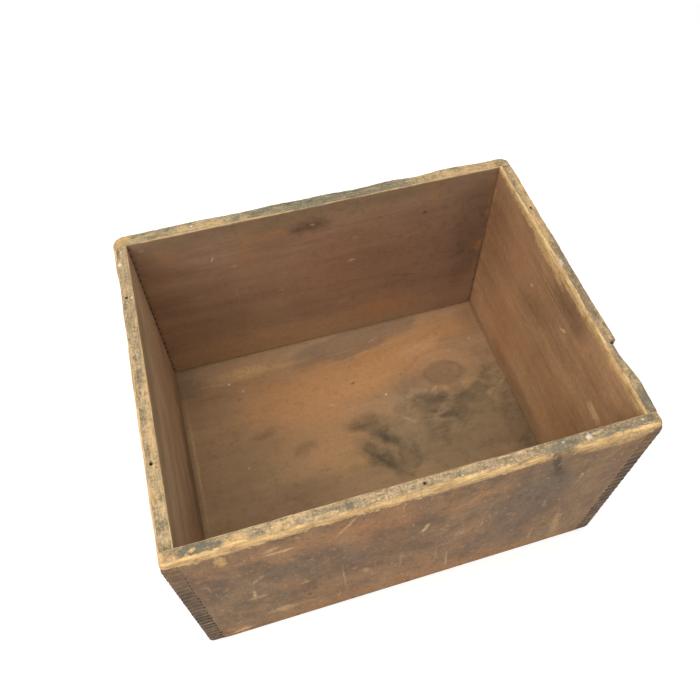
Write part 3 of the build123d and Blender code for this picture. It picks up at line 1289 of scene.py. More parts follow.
@dataclass
class Board:
    """One board of the box, as a worn solid with its finish."""

    slot: str
    finish: WoodFinish
    sizes: BoxSizes
    joints: Joints
    wear: Wear
    seed: int
    step: float = 2.6
    fine_zone: float = 14.0
    fine_step: float = 0.95
    arris_run: float = 3.0

    @property
    def lie(self) -> Lie:
        """How the board lies."""
        return self.finish.lie

    @property
    def node(self) -> str:
        """The node that the board stands for."""
        return self.lie.node

    @property
    def thickness(self) -> float:
        """Thickness of the board."""
        return self.sizes.thickness(self.lie)

    def _slot_planes(self) -> tuple[float, float]:
        """Where the slots at the low and the high end of the board stop.

        Returns:
            Their two places along the board.
        """
        low, high = (Lie.LEFT, Lie.RIGHT) if self.lie.long else (Lie.FRONT, Lie.BACK)
        gap = self.joints.shoulder_gap if self.lie.long else 0.0
        return self.sizes.inner[low] + gap, self.sizes.inner[high] - gap

    def _depth_lines(self) -> np.ndarray:
        """Lines through the thickness, close together at both faces.

        Returns:
            The lines, outermost first.
        """
        thickness = self.thickness
        near = np.array([0.0, 0.35, 0.8, 1.4, 2.1, 3.0, 4.0, 5.2])
        extra = np.concatenate([near, thickness - near, [thickness / 2.0]])
        return merged_lines([0.0, thickness], extra, 0.3)

    def _length_lines(self) -> np.ndarray:
        """Lines along the board, close together at its fingers.

        Returns:
            The lines, lowest first.
        """
        half = self.sizes.half_length(self.lie)
        low, high = self._slot_planes()
        near = np.array([0.3, 0.7, 1.2, 1.9, 3.0, 4.5, 6.5, 9.0, 11.0, 14.0, 17.0])
        body = np.linspace(low, high, int(round((high - low) / self.step)) + 1)
        extra = np.concatenate([near - half, half - near, body[1:-1]])
        return merged_lines([-half, low, high, half], extra, 0.25)

    def _grid(self) -> CombGrid:
        """The board's grid, with the slots between its fingers left out.

        Returns:
            The grid.
        """
        heights = self.joints.height_lines(self.fine_zone, self.fine_step)
        lengths = self._length_lines()
        low, high = self._slot_planes()
        up = (heights[1:] + heights[:-1]) / 2.0
        along = (lengths[1:] + lengths[:-1]) / 2.0
        own = 0 if self.lie.long else 1
        open_rows = (self.joints.row_of(up) % 2 != own) | self.joints.in_seam(up)
        at_end = (along < low) | (along > high)
        return CombGrid(lengths, heights, self._depth_lines(), ~(open_rows[:, None] & at_end[None, :]))

    def _fingers(self, points: np.ndarray) -> np.ndarray:
        """Gives each finger its own length and depth, eases its arrises, and varies its shoulder gap.

        Args:
            points: Places as (length, height, depth).

        Returns:
            The changed places.
        """
        joints, half = self.joints, self.sizes.half_length(self.lie)
        low, high = self._slot_planes()
        chance = np.random.default_rng(self.seed)
        rows = joints.row_of(points[:, 1])
        recess = chance.uniform(0.0, joints.recess, (2, joints.rows))
        face = chance.uniform(0.0, joints.face_recess, (2, joints.rows))
        gaps = chance.uniform(joints.shoulder_least, joints.shoulder_most, (2, joints.rows))
        gaps *= np.linspace(joints.shoulder_low, joints.shoulder_high, joints.rows)
        right = (points[:, 0] > 0.0).astype(int)
        side = np.where(right == 1, 1.0, -1.0)
        slot = np.where(right == 1, high, -low)
        reach = points[:, 0] * side
        share = np.clip((reach - slot) / (half - slot), 0.0, 1.0)
        out = points.copy()
        out[:, 0] = side * (reach - recess[right, rows] * share)
        out[:, 2] += face[right, rows] * smooth_step(share, 0.0, 0.15) * (1.0 - points[:, 2] / self.thickness)
        at_shoulder = np.abs(reach - slot) < 1e-3
        if self.lie.long:
            moved, other = slot + joints.shoulder_gap - gaps[right, rows], 1
        else:
            moved, other = slot - joints.end_shoulder_share * gaps[right, rows], 0
        out[:, 0] = np.where(at_shoulder & (rows % 2 == other), side * moved, out[:, 0])
        seam = np.round(points[:, 1] / joints.pitch) * joints.pitch
        away = points[:, 1] - seam
        at_seam = (np.abs(away) < joints.clearance) & (share > 0.0)
        at_seam &= (points[:, 1] > 1.0) & (points[:, 1] < joints.height - 1.0)
        surface = np.minimum(points[:, 2], half - reach)
        ease = joints.eased * np.exp(-surface / joints.ease_reach)
        out[:, 1] += np.where(at_seam, np.sign(away) * ease, 0.0)
        return out

    def _inner_arris(self, points: np.ndarray) -> np.ndarray:
        """Rounds the inner arris of the rim a little, and not where it is part of a joint.

        Args:
            points: Places as (length, height, depth).

        Returns:
            The changed places.
        """
        low, high = self._slot_planes()
        run = self.arris_run
        inside = smooth_step(points[:, 0], low, low + run) * smooth_step(points[:, 0], high, high - run)
        reach = 0.25 + (0.75 + 0.3 * ripple(points, 30.0, self.seed + 5)) * inside
        depth, below = rounded_pair(self.thickness - points[:, 2], self.sizes.height - points[:, 1], reach)
        out = points.copy()
        out[:, 2] = self.thickness - depth
        out[:, 1] = self.sizes.height - below
        return out

    def _shaped(self, points: np.ndarray) -> np.ndarray:
        """Changes of the board's own shape, at places of (length, height, depth)."""
        return self._inner_arris(self._fingers(points))

    def _broken(self, points: np.ndarray) -> np.ndarray:
        """Changes after the whole box's wear. Places are x, y and z."""
        return points

    def _solid(self) -> tuple[np.ndarray, np.ndarray]:
        """Points of the finished board in the box, and its quads.

        Returns:
            The points in the box, and the quads.
        """
        points, quads = self._grid().build()
        placed = self.sizes.box_places(self.lie, self._shaped(points))
        return self._broken(self.wear.apply(placed)), quads

    def build(self) -> bpy.types.Object:
        """Makes the board, lets it ride with the box and hides its node in the model.

        Returns:
            The board's object.
        """
        points, quads = self._solid()
        faces = quads[:, ::-1] if self.lie.left_handed else quads
        piece = add_mesh(f"{self.node}_wood", points, faces.tolist(), self.finish.build(self.sizes), CREASE)
        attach(piece, BODY)
        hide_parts(self.node)
        log.info("%s: %d faces", piece.name, len(piece.data.polygons))
        return piece

    def paint(self, piece: bpy.types.Object, holes: Sequence["NailRow | LidHoles"]) -> None:
        """Writes the broad marks to the mesh's points, and dirt to those inside its holes.

        Args:
            piece: The board's object.
            holes: The holes that are cut into the boards.
        """
        flat = np.empty(len(piece.data.vertices) * 3)
        piece.data.vertices.foreach_get("co", flat)
        points = flat.reshape(-1, 3) * MILLIMETRES
        wash = self.finish.wash(points, self.sizes)
        dirty = np.any([hole.inside(points) for hole in holes], axis=0)
        wash[dirty] = np.array(Tone.DARK.value) * 0.9
        attribute = piece.data.attributes.new("wash", "FLOAT_COLOR", "POINT")
        attribute.data.foreach_set("color", wash.astype(np.float32).ravel())


@dataclass
class FrontBoard(Board):
    """The front board, whose lower edge is worn a little hollow."""

    hollow: float = 1.2
    hollow_left: tuple[float, float] = (-186.0, -60.0)
    hollow_right: tuple[float, float] = (186.0, 20.0)
    hollow_height: float = 14.0

    def _shaped(self, points: np.ndarray) -> np.ndarray:
        """Adds the hollow: the lower edge is lifted by a smooth hump over its middle.

        Args:
            points: Places as (length, height, depth).

        Returns:
            The changed places.
        """
        out = super()._shaped(points)
        along, up = points[:, 0], points[:, 1]
        hump = smooth_step(along, *self.hollow_left) * smooth_step(along, *self.hollow_right)
        out[:, 1] += self.hollow * hump * smooth_step(up, self.hollow_height, 0.0) ** 2
        return out


@dataclass(frozen=True)
class Splinter:
    """A splinter broken out of an outer top arris: a slanted plane cut from a step to a point."""

    step_place: float = -77.3
    full_end: float = -91.8
    tip: float = -124.8
    width: float = 5.2
    drop: float = 9.0
    fibre: float = 0.35

    def share(self, along: np.ndarray) -> np.ndarray:
        """How much of the full section is gone at each place along the arris."""
        taper = np.clip((along - self.tip) / (self.full_end - self.tip), 0.0, 1.0)
        return np.where(along < self.step_place, taper, 0.0)


@dataclass
class RightEnd(Board):
    """The right end, with its splinter and its broad, splintered inner arris."""

    splinter: Splinter = field(default_factory=Splinter)
    bevel_width: float = 2.6
    bevel_drop: float = 6.5
    bevel_least: float = 0.6
    bevel_front: tuple[float, float] = (-149.0, -128.0)
    bevel_back: tuple[float, float] = (84.0, 50.0)

    def _depth_lines(self) -> np.ndarray:
        """Lines through the thickness, about a millimetre apart.

        Returns:
            The lines, outermost first.
        """
        thickness = self.thickness
        near = np.array([0.0, 0.35, 0.8, 1.4, 2.1])
        even = np.linspace(0.0, thickness, 14)
        return merged_lines([0.0, thickness], np.concatenate([near, thickness - near, even[1:-1]]), 0.3)

    def _length_lines(self) -> np.ndarray:
        """Adds two lines close together for the step of the splinter."""
        step = np.array([self.splinter.step_place - 0.35, self.splinter.step_place])
        return merged_lines(step, super()._length_lines(), 0.3)

    def _shaped(self, points: np.ndarray) -> np.ndarray:
        """Adds the splintered inner arris: an elliptical round, wider down the side than over the rim.

        Args:
            points: Places as (length, height, depth).

        Returns:
            The changed places.
        """
        out = super()._shaped(points)
        along = points[:, 0]
        zone = smooth_step(along, *self.bevel_front) * smooth_step(along, *self.bevel_back)
        flat = points * np.array([1.0, 0.0, 0.0])
        rough = 1.0 + 0.35 * ripple(flat, 38.0, self.seed + 7) + 0.14 * ripple(flat, 9.0, self.seed + 8)
        width = self.bevel_least + self.bevel_width * zone * rough
        drop = self.bevel_least + self.bevel_drop * zone * rough
        depth = self.thickness - out[:, 2]
        below = self.sizes.height - out[:, 1]
        first, second = rounded_pair(depth / width, below / drop, np.ones_like(width))
        out[:, 2] = self.thickness - first * width
        out[:, 1] = self.sizes.height - second * drop
        return out

    def _broken(self, points: np.ndarray) -> np.ndarray:
        """Cuts the splinter: points beyond its slanted plane slide onto it, towards a pivot inside the board.

        A point's level is its depth over the cut's width plus its distance below the rim over the
        cut's drop, and the plane has the level of the share that is gone there.

        Args:
            points: Places in the box.

        Returns:
            The changed places.
        """
        cut, face = self.splinter, self.sizes.outer[Lie.RIGHT]
        depth = face - points[:, 0]
        below = self.sizes.height - points[:, 2]
        share = cut.share(points[:, 1])
        level = depth / cut.width + below / cut.drop
        pivot_depth, pivot_below = cut.width + 1.0, cut.drop + 2.0
        pivot_level = pivot_depth / cut.width + pivot_below / cut.drop
        fibres = cut.fibre * ripple(points * np.array([1.0, 0.04, 1.0]), 2.6, 31)
        gone = (share > 0.0) & (level < share)
        slide = np.where(gone, (share - level) / (pivot_level - level), 0.0)
        new_depth = depth + (pivot_depth - depth) * slide + np.where(gone, fibres.clip(0.0), 0.0)
        new_below = below + (pivot_below - below) * slide
        out = points.copy()
        out[:, 0] = face - new_depth
        out[:, 2] = self.sizes.height - new_below
        return out


@dataclass
class BottomBoard(Board):
    """The bottom board: a plain slab between the sides, slightly hollow on top."""

    hollow: float = 0.35
    swelling: float = 0.4
    unevenness: float = 0.08
    length_steps: int = 128
    width_steps: int = 100

    def _solid(self) -> tuple[np.ndarray, np.ndarray]:
        """Points and quads of a full grid whose top sinks a little towards its middle.

        Returns:
            The points in the box, and the quads.
        """
        (left, front, _), (right, back, top) = self.sizes.floor
        lengths = np.linspace(left - self.swelling, right + self.swelling, self.length_steps)
        widths = np.linspace(front, back, self.width_steps)
        depths = np.array([0.0, 0.3, 1.0, 4.0, top - 1.0, top - 0.3, top])
        kept = np.ones((len(widths) - 1, len(lengths) - 1), bool)
        points, quads = CombGrid(lengths, widths, depths, kept).build()
        across = (points[:, 1] - front) / (back - front)
        uneven = self.unevenness * (1.0 + ripple(points, 70.0, self.seed)).clip(0.0)
        sunk = self.hollow * 4.0 * across * (1.0 - across) + uneven
        placed = self.sizes.box_places(self.lie, points)
        placed[:, 2] -= sunk * (1.0 - points[:, 2] / top)
        return placed, quads


@dataclass(frozen=True)
class NailRow:
    """The nails driven through one side into the bottom board."""

    node: str
    origins: np.ndarray
    inward: np.ndarray
    sides: int = 24
    length: float = 34.0
    radius: float = 0.95
    head_radius: float = 2.2
    head_thickness: float = 1.0
    sunk: float = 0.3
    clearance: float = 0.12
    outside: float = 2.0

    def _profile(self) -> np.ndarray:
        """Profile of a nail from its slightly domed head to its point, as (depth, radius).

        Returns:
            The profile.
        """
        head = self.sunk + self.head_thickness
        return np.array([
            (self.sunk, 0.5), (self.sunk + 0.03, 1.1), (self.sunk + 0.1, 1.7), (self.sunk + 0.25, 2.08),
            (self.sunk + 0.5, self.head_radius), (head - 0.25, self.head_radius), (head, 1.9),
            (head + 0.1, self.radius + 0.15), (head + 0.5, self.radius),
            (self.length - 3.0, self.radius), (self.length - 0.3, 0.3), (self.length, 0.15),
        ])

    def _bore_profile(self) -> np.ndarray:
        """Profile of the hole round a nail, from outside the board to past the point.

        Returns:
            The profile.
        """
        recess, end = self.sunk + self.head_thickness + self.clearance, self.length + self.clearance
        wide, narrow = self.head_radius + self.clearance, self.radius + self.clearance
        return np.array([(-self.outside, wide), (recess, wide), (recess, narrow), (end, narrow)])

    def solids(self, profile: np.ndarray) -> list[tuple[np.ndarray, list]]:
        """One solid of revolution for each nail of the row."""
        return [turned_solid(profile, origin, self.inward, self.sides) for origin in self.origins]

    def bores(self) -> list[tuple[np.ndarray, list]]:
        """The holes round the nails, as solids to cut with."""
        return self.solids(self._bore_profile())

    def inside(self, points: np.ndarray) -> np.ndarray:
        """Whether each point lies in one of the holes round the nails.

        Args:
            points: Places in the box.

        Returns:
            True inside a hole.
        """
        across = (points[:, None] - self.origins[None]) * (1.0 - np.abs(self.inward))
        depth = (points[:, None] - self.origins[None]) @ self.inward
        near = np.linalg.norm(across, axis=2) < self.head_radius + self.clearance + 0.1
        return (near & (depth > 0.1) & (depth < self.length + 1.0)).any(axis=1)

    def build(self, material: bpy.types.Material) -> bpy.types.Object:
        """Makes the row of nails in its node's place.

        Args:
            material: The iron.

        Returns:
            The row's object.
        """
        points, faces = joined(self.solids(self._profile()))
        piece = add_mesh(f"{self.node}_iron", points, faces, material, NAIL_CREASE)
        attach(piece, BODY)
        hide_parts(self.node)
        log.info("%s: %d nails", piece.name, len(self.origins))
        return piece


@dataclass(frozen=True)
class Nailing:
    """Where the nails go, by the same spacing as in the CAD model."""

    sizes: BoxSizes
    pitch: float = 58.0
    side_margin: float = 30.0
    end_margin: float = 42.3

    def _row(self, lie: Lie) -> NailRow:
        """The row through one side: even places about one pitch apart, half way up the bottom board.

        Args:
            lie: How that side lies.

        Returns:
            The row.
        """
        sizes = self.sizes
        reach = sizes.half_length(lie) - (self.side_margin if lie.long else self.end_margin)
        along = np.linspace(-reach, reach, max(1, round(2.0 * reach / self.pitch)) + 1)
        level = np.full_like(along, sizes.outer[Lie.BOTTOM] / 2.0)
        inward = np.zeros(3)
        inward[lie.axes[2]] = lie.sign
        places = sizes.box_places(lie, np.stack([along, level, np.zeros_like(along)], axis=1))
        return NailRow(f"bottom_nails_{lie.name.lower()}", places, inward)

    def rows(self) -> list[NailRow]:
        """The four rows of nails."""
        return [self._row(lie) for lie in Lie if lie is not Lie.BOTTOM]


@dataclass(frozen=True)
class LidHoles:
    """Empty holes in the rim, left by the nails of a lost lid."""

    sizes: BoxSizes
    spacing: float = 166.0
    shift: float = 3.2
    inset: float = 5.6
    front_offset: float = -0.5
    front_inset: float = 7.7
    front_radius: float = 0.8
    radius: float = 1.1
    depth: float = 25.0
    sides: int = 20

    def _places(self) -> list[tuple[float, float]]:
        """Where the holes are, as x and y, the one in the front rim first.

        Returns:
            The places.
        """
        outer = self.sizes.outer
        ends = (self.shift - self.spacing / 2.0, self.shift + self.spacing / 2.0)
        places = [(self.front_offset, outer[Lie.FRONT] + self.front_inset)]
        rims = (outer[Lie.LEFT] + self.inset, outer[Lie.RIGHT] - self.inset)
        return places + [(x, y) for x in rims for y in ends]

    def inside(self, points: np.ndarray) -> np.ndarray:
        """Whether each point lies in one of the holes, rim included."""
        away = np.linalg.norm(points[:, None, :2] - np.array(self._places())[None], axis=2)
        return (away < self.radius + 0.35).any(axis=1) & (points[:, 2] > self.sizes.height - self.depth - 1.0)

    def solids(self) -> list[tuple[np.ndarray, list]]:
        """The holes as solids to cut with, torn a little wider at the top.

        Returns:
            Points and faces of each hole.
        """
        down = np.array([0.0, 0.0, -1.0])
        solids = []
        for number, (x, y) in enumerate(self._places()):
            radius = self.front_radius if number == 0 else self.radius
            profile = [(-2.0, radius + 0.25), (0.9, radius + 0.2), (1.8, radius), (self.depth, radius)]
            top = np.array([x, y, self.sizes.height])
            solids.append(turned_solid(np.array(profile), top, down, self.sides))
        return solids


def front_finish() -> WoodFinish:
    """The front board's finish: grey-brown outside, with scratches, a hooked stain and a bare top arris.

    Returns:
        The finish.
    """
    outer = marks(
        (Tone.RED, (-36, 194, 26, 30, 0, 0.6, 0.8)),
        (Tone.ORANGE, (-60, 204, 60, 22, 6, 0.35, 0.8), (-172, 13, 10, 9, 0, 0.8, 0.3),
         (-128, 42, 6, 14, -8, 0.6, 0.5), (45, 195, 25, 7, 35, 0.6, 0.5), (-80, 20, 85, 24, 0, 0.45, 0.8),
         (60, 12, 90, 20, 0, 0.6, 0.8), (-30, 70, 70, 36, 0, 0.12, 0.8), (15, 45, 6, 34, 0, 0.4, 0.6)),
        (Tone.BROWN, (-70, 122, 36, 34, 0, 0.45, 0.8), (-12, 145, 30, 34, 0, 0.4, 0.8),
         (105, 92, 14, 18, 0, 0.35, 0.5)),
        (Tone.OLIVE, (-160, 70, 38, 60, 0, 0.25, 0.8), (160, 95, 36, 45, 0, 0.25, 0.8)),
        (Tone.GREY, (-85, 150, 54, 24, -6, 0.45, 0.8)),
        (Tone.SLATE, (-160, 150, 40, 30, 0, 0.22, 0.9), (108, 184, 34, 42, -12, 0.5, 0.8)),
        (Tone.PURPLE, (104, 130, 34, 46, 0, 0.6, 0.6), (85, 60, 40, 40, 0, 0.4, 0.6),
         (184, 165, 20, 34, 0, 0.55, 0.6)),
        (Tone.DUST_AND_BOUNCE_LIGHT, (156, 34, 30, 22, 0, 0.35, 0.7)),
        (Tone.ORANGE, (-98, 50, 14, 9, 10, 0.4, 0.6), (-104, 214, 60, 12, 0, 0.3, 0.8)),
        (Tone.GREY, (-197, 128, 7, 48, 0, 0.6, 0.4), (112, 176, 14, 26, -14, 0.5, 0.5)),
        (Tone.DARK, (112, 222, 28, 3.8, -75, 0.85, 0.6), (122, 196, 16, 4.5, -70, 0.5, 0.7),
         (126, 184, 3.5, 9, 10, 0.5, 0.6), (-100, 65, 2.6, 3.2, 0, 0.85, 0.4),
         (90, 170, 2, 6, -10, 0.5, 0.6), (101, 157, 2.6, 5, 20, 0.5, 0.6), (111, 149, 2, 5, 0, 0.45, 0.6),
         (113, 110, 1.6, 5, 0, 0.5, 0.6)),
        (Tone.OCHRE, (-161.5, 223, 4.6, 13, 5, 1, 0.3), (153, 50, 4.5, 33, 8, 0.55, 0.7),
         (127, 42, 1.6, 17, 4, 0.5, 0.7), (162, 233, 30, 7, 0, 0.9, 0.4)),
        (Tone.PALE, (-118, 206.5, 12.5, 2.4, 1, 1, 0.3), (-124, 215, 7, 3.2, 30, 0.8, 0.5),
         (-64, 219, 18, 1.5, 63, 0.75, 0.5), (-147, 114, 1.5, 14, -3, 0.85, 0.5),
         (-146, 104, 8, 4, 0, 0.6, 0.7), (-67, 88, 1, 28, 3, 0.6, 0.7), (-45, 86, 3.4, 9, 20, 0.55, 0.7),
         (37, 42, 1, 24, 4, 0.7, 0.6), (-72, 34, 1.2, 12, -6, 0.5, 0.6), (-126, 43, 11, 7, -8, 0.7, 0.8),
         (-13, 90, 1.2, 20, 1, 0.35, 0.7), (23, 76, 1.2, 17, 6, 0.35, 0.7),
         (-179, 162, 0.9, 7, 0, 0.45, 0.6), (-170, 12, 10, 5.5, 20, 1.1, 0.5),
         (-102, 107, 5, 2.4, 8, 0.5, 0.6), (43, 116, 7, 6, 0, 0.4, 0.7), (62, 126, 1.2, 6, 0, 0.5, 0.6),
         (122, 130, 1.2, 7, 0, 0.5, 0.6), (146, 177, 1.4, 6, 3, 0.6, 0.5), (-18, 226, 0.9, 10, 0, 0.5, 0.6),
         (24, 140, 6, 1.2, -52, 0.4, 0.6), (5.5, 160, 2.4, 8, -12, 1, 0.7)),
        (Tone.WHITE, (4.5, 155, 1.8, 3, -12, 0.5, 0.7), (-143, 150, 2, 5, -20, 0.25, 0.7)),
    )
    rim = marks(
        (Tone.SLATE, (-173, 6.2, 18, 5, 0, 0.95, 0.15), (114, 6, 14, 8, 0, 0.7, 0.5),
         (-70, 7.5, 20, 2.5, 0, 0.4, 0.6), (160, 8, 34, 5, 0, 0.5, 0.5)),
        (Tone.GREY, (70, 8, 30, 4, 0, 0.25, 0.6)),
        (Tone.DARK, (-30, 6, 0.5, 6, 4, 0.6, 0.5), (-122, 1.8, 3, 1, 0, 0.7, 0.5),
         (-112, 2.6, 2, 1, 0, 0.7, 0.5), (105, 0.8, 5, 1, 0, 0.6, 0.5)),
        (Tone.OCHRE, (-178, 7.5, 3.2, 1.6, 10, 0.95, 0.3), (-182.5, 5, 1.2, 1.2, 0, 0.9, 0.3),
         (-148, 5, 9, 4.5, 20, 0.9, 0.4), (-195, 4, 7, 7, 0, 0.6, 0.5), (-112, 6, 10, 3, 0, 0.5, 0.5)),
        (Tone.BROWN, (197, 6, 5, 7, 0, 0.3, 0.6)),
        (Tone.PALE, (-104, 7.5, 2, 2, 0, 0.8, 0.4), (-191, 6, 0.8, 5, 0, 0.7, 0.4)),
        (Tone.WHITE, (137, 7.6, 2.6, 2.2, 0, 0.9, 0.4), (142.5, 8.5, 0.9, 0.9, 0, 0.9, 0.4),
         (116, 9, 1, 1, 0, 0.8, 0.4), (186, 9, 0.9, 0.9, 0, 0.8, 0.4), (29, 6, 0.8, 0.8, 0, 0.7, 0.4)),
    )
    unworn = marks(
        (Tone.DARK, (113, 240, 12, 12, 0, 0.9, 0.4), (-104, 232, 9, 4, 0, 0.9, 0.4),
         (30, 233, 20, 3, 0, 0.8, 0.5), (85, 233, 14, 4, 0, 0.8, 0.5)),
    )
    return WoodFinish(
        "front_wood", Lie.FRONT, 1.0,
        outer=Palette(shade(112, 86, 62), shade(156, 122, 88)),
        inner=Palette(shade(134, 98, 72), shade(166, 124, 90)),
        rim=Palette(shade(124, 110, 86), shade(196, 167, 127)),
        outer_bare=Bare(3.6, 8.0), inner_bare=Bare(0.7, 1.0, 0.8),
        outer_marks=outer, rim_marks=rim, unworn=unworn, grain=0.35, outer_grain=0.35,
        rubbing=1.0, outer_scuffs=0.52,
    )


def back_finish() -> WoodFinish:
    """The back board's finish: reddish brown inside, with a small knot and a few pale nicks.

    Returns:
        The finish.
    """
    inner = marks(
        (Tone.PURPLE, (130, 125, 80, 110, 0, 0.4, 0.8)),
        # The wide pale and orange bands low on this wall are painted bounce light from the floor.
        (Tone.DUST_AND_BOUNCE_LIGHT, (-130, 55, 90, 54, 0, 0.4, 0.8), (-70, 16, 170, 34, 0, 0.75, 0.8)),
        (Tone.CREAM, (-90, 22, 130, 28, 0, 0.35, 0.8)),
        (Tone.ORANGE, (-60, 20, 150, 26, 0, 0.2, 0.8), (70, 48, 42, 22, 0, 0.5, 0.6),
         (-80, 205, 9, 32, 0, 0.5, 0.7), (-52, 216, 16, 8, 0, 0.45, 0.6), (-158, 205, 9, 20, 0, 0.35, 0.6),
         (122, 226, 6, 15, 0, 0.4, 0.6)),
        (Tone.RED, (40, 150, 110, 60, 0, 0.35, 0.7)),
        (Tone.BROWN, (172, 150, 20, 75, 0, 0.5, 0.7)),
        (Tone.PURPLE, (142, 145, 52, 56, 0, 0.25, 0.8)),
        (Tone.ORANGE, (188.5, 165, 2.6, 80, 0, 0.8, 0.5)),
        (Tone.OLIVE, (0, 232, 190, 10, 0, 0.5, 0.7)),
        (Tone.BROWN, (-13, 216, 22, 9, 0, 0.6, 0.6)),
        (Tone.DARK, (-12, 214, 15, 5, 0, 0.5, 0.7), (60, 206, 60, 0.8, 1, 0.3, 0.8),
         (112, 198, 2.4, 2.4, 0, 0.7, 0.5), (97, 97, 15, 1.2, -12, 0.55, 0.7),
         (34, 76, 3, 3.5, 0, 0.4, 0.7), (108, 72, 8, 2.5, 0, 0.25, 0.7)),
        (Tone.PALE, (-10, 216.5, 2.8, 1.6, 0, 0.6, 0.5), (-95, 180, 3.2, 2.2, 0, 0.5, 0.6),
         (35, 183, 3.6, 2.6, 0, 0.35, 0.6), (-49, 122, 1.8, 2.2, 0, 0.5, 0.6),
         (-98, 131, 0.6, 19, 1, 0.4, 0.6), (18, 72, 2.4, 1.8, 0, 0.4, 0.6),
         (-43, 151, 5, 0.9, 8, 0.35, 0.6), (-179, 231, 2, 2, 0, 0.5, 0.6), (-82, 50, 2, 2, 0, 0.3, 0.6)),
        (Tone.WHITE, (-116, 197, 1.3, 3.8, -12, 0.65, 0.5), (31, 147, 4.2, 1.8, 0, 0.5, 0.5)),
    )
    rim = marks(
        (Tone.SLATE, (15, 6, 88, 9, 0, 0.7, 0.3)),
        (Tone.OLIVE, (-165, 7, 25, 6, 0, 0.3, 0.5)),
        (Tone.OCHRE, (150, 7, 52, 10, 0, 0.4, 0.5), (-138, 8, 7, 3.5, 0, 0.5, 0.6),
         (-112, 9, 18, 3.5, 0, 0.5, 0.7), (-196, 4, 10, 9, 45, 0.8, 0.4)),
        (Tone.DARK, (14, 12.6, 2.2, 1.2, 0, 0.8, 0.4), (34, 12.8, 1.8, 1, 0, 0.8, 0.4),
         (-9, 6, 1.2, 1, 0, 0.6, 0.4), (-195.5, 8.5, 7, 0.5, 40, 0.7, 0.5),
         (-192, 4.5, 5, 0.4, 50, 0.6, 0.5), (191.5, 12.8, 1.5, 1.8, 0, 0.9, 0.4)),
        (Tone.WHITE, (-128, 7, 1, 1, 0, 0.6, 0.4)),
    )
    return WoodFinish(
        "back_wood", Lie.BACK, 2.0,
        inner=Palette(shade(150, 117, 92), shade(180, 145, 116)),
        rim=Palette(shade(116, 106, 84), shade(186, 163, 124)),
        inner_bare=Bare(0.9, 1.2, 0.8),
        inner_marks=inner, rim_marks=rim, rim_ochre=0.3, corner_holes=0.85, grain=0.7, sand=0.2,
        inner_scuffs=0.15,
    )


def left_finish() -> WoodFinish:
    """The left end's finish: olive brown and streaky, lighter along its top.

    Returns:
        The finish.
    """
    inner = marks(
        (Tone.OLIVE, (0, 226, 160, 14, 0, 0.6, 0.6), (118, 190, 30, 45, 0, 0.3, 0.7)),
        (Tone.RED, (70, 120, 45, 45, 0, 0.25, 0.7)),
        (Tone.DUST_AND_BOUNCE_LIGHT, (130, 185, 44, 64, 0, 0.4, 0.8)),
        (Tone.CREAM, (112, 175, 30, 60, 0, 0.3, 0.8)),
        (Tone.BROWN, (-20, 20, 140, 26, 0, 0.75, 0.6), (-90, 70, 60, 50, 0, 0.4, 0.6)),
        (Tone.PALE, (20, 160, 9, 0.9, 0, 0.3, 0.7), (90, 205, 14, 1, 0, 0.3, 0.7)),
    )
    rim = marks(
        (Tone.GREY, (85, 7, 45, 5, 0, 0.25, 0.6)),
        (Tone.DARK, (-149, 6, 0.5, 7, 0, 0.6, 0.5)),
        (Tone.OCHRE, (-108, 5, 6, 3.5, 0, 0.7, 0.5), (-60, 8, 24, 2, 0, 0.5, 0.6),
         (-10, 11, 18, 1.6, 0, 0.7, 0.5)),
        (Tone.DARK, (-20, 4, 2, 0.8, 0, 0.5, 0.5)),
        (Tone.WHITE, (126, 4, 2, 1.7, 0, 0.9, 0.4), (140, 6.5, 0.9, 1.4, 0, 0.7, 0.4),
         (85, 10.5, 0.9, 0.9, 0, 0.8, 0.4)),
    )
    return WoodFinish(
        "left_wood", Lie.LEFT, 3.0,
        inner=Palette(shade(166, 138, 108), shade(200, 170, 134)),
        rim=Palette(shade(126, 112, 86), shade(200, 171, 128)),
        outer_bare=Bare(1.7, 4.5), inner_bare=Bare(0.8, 1.2, 0.8),
        inner_marks=inner, rim_marks=rim, rim_ochre=0.35, sand=0.2,
    )


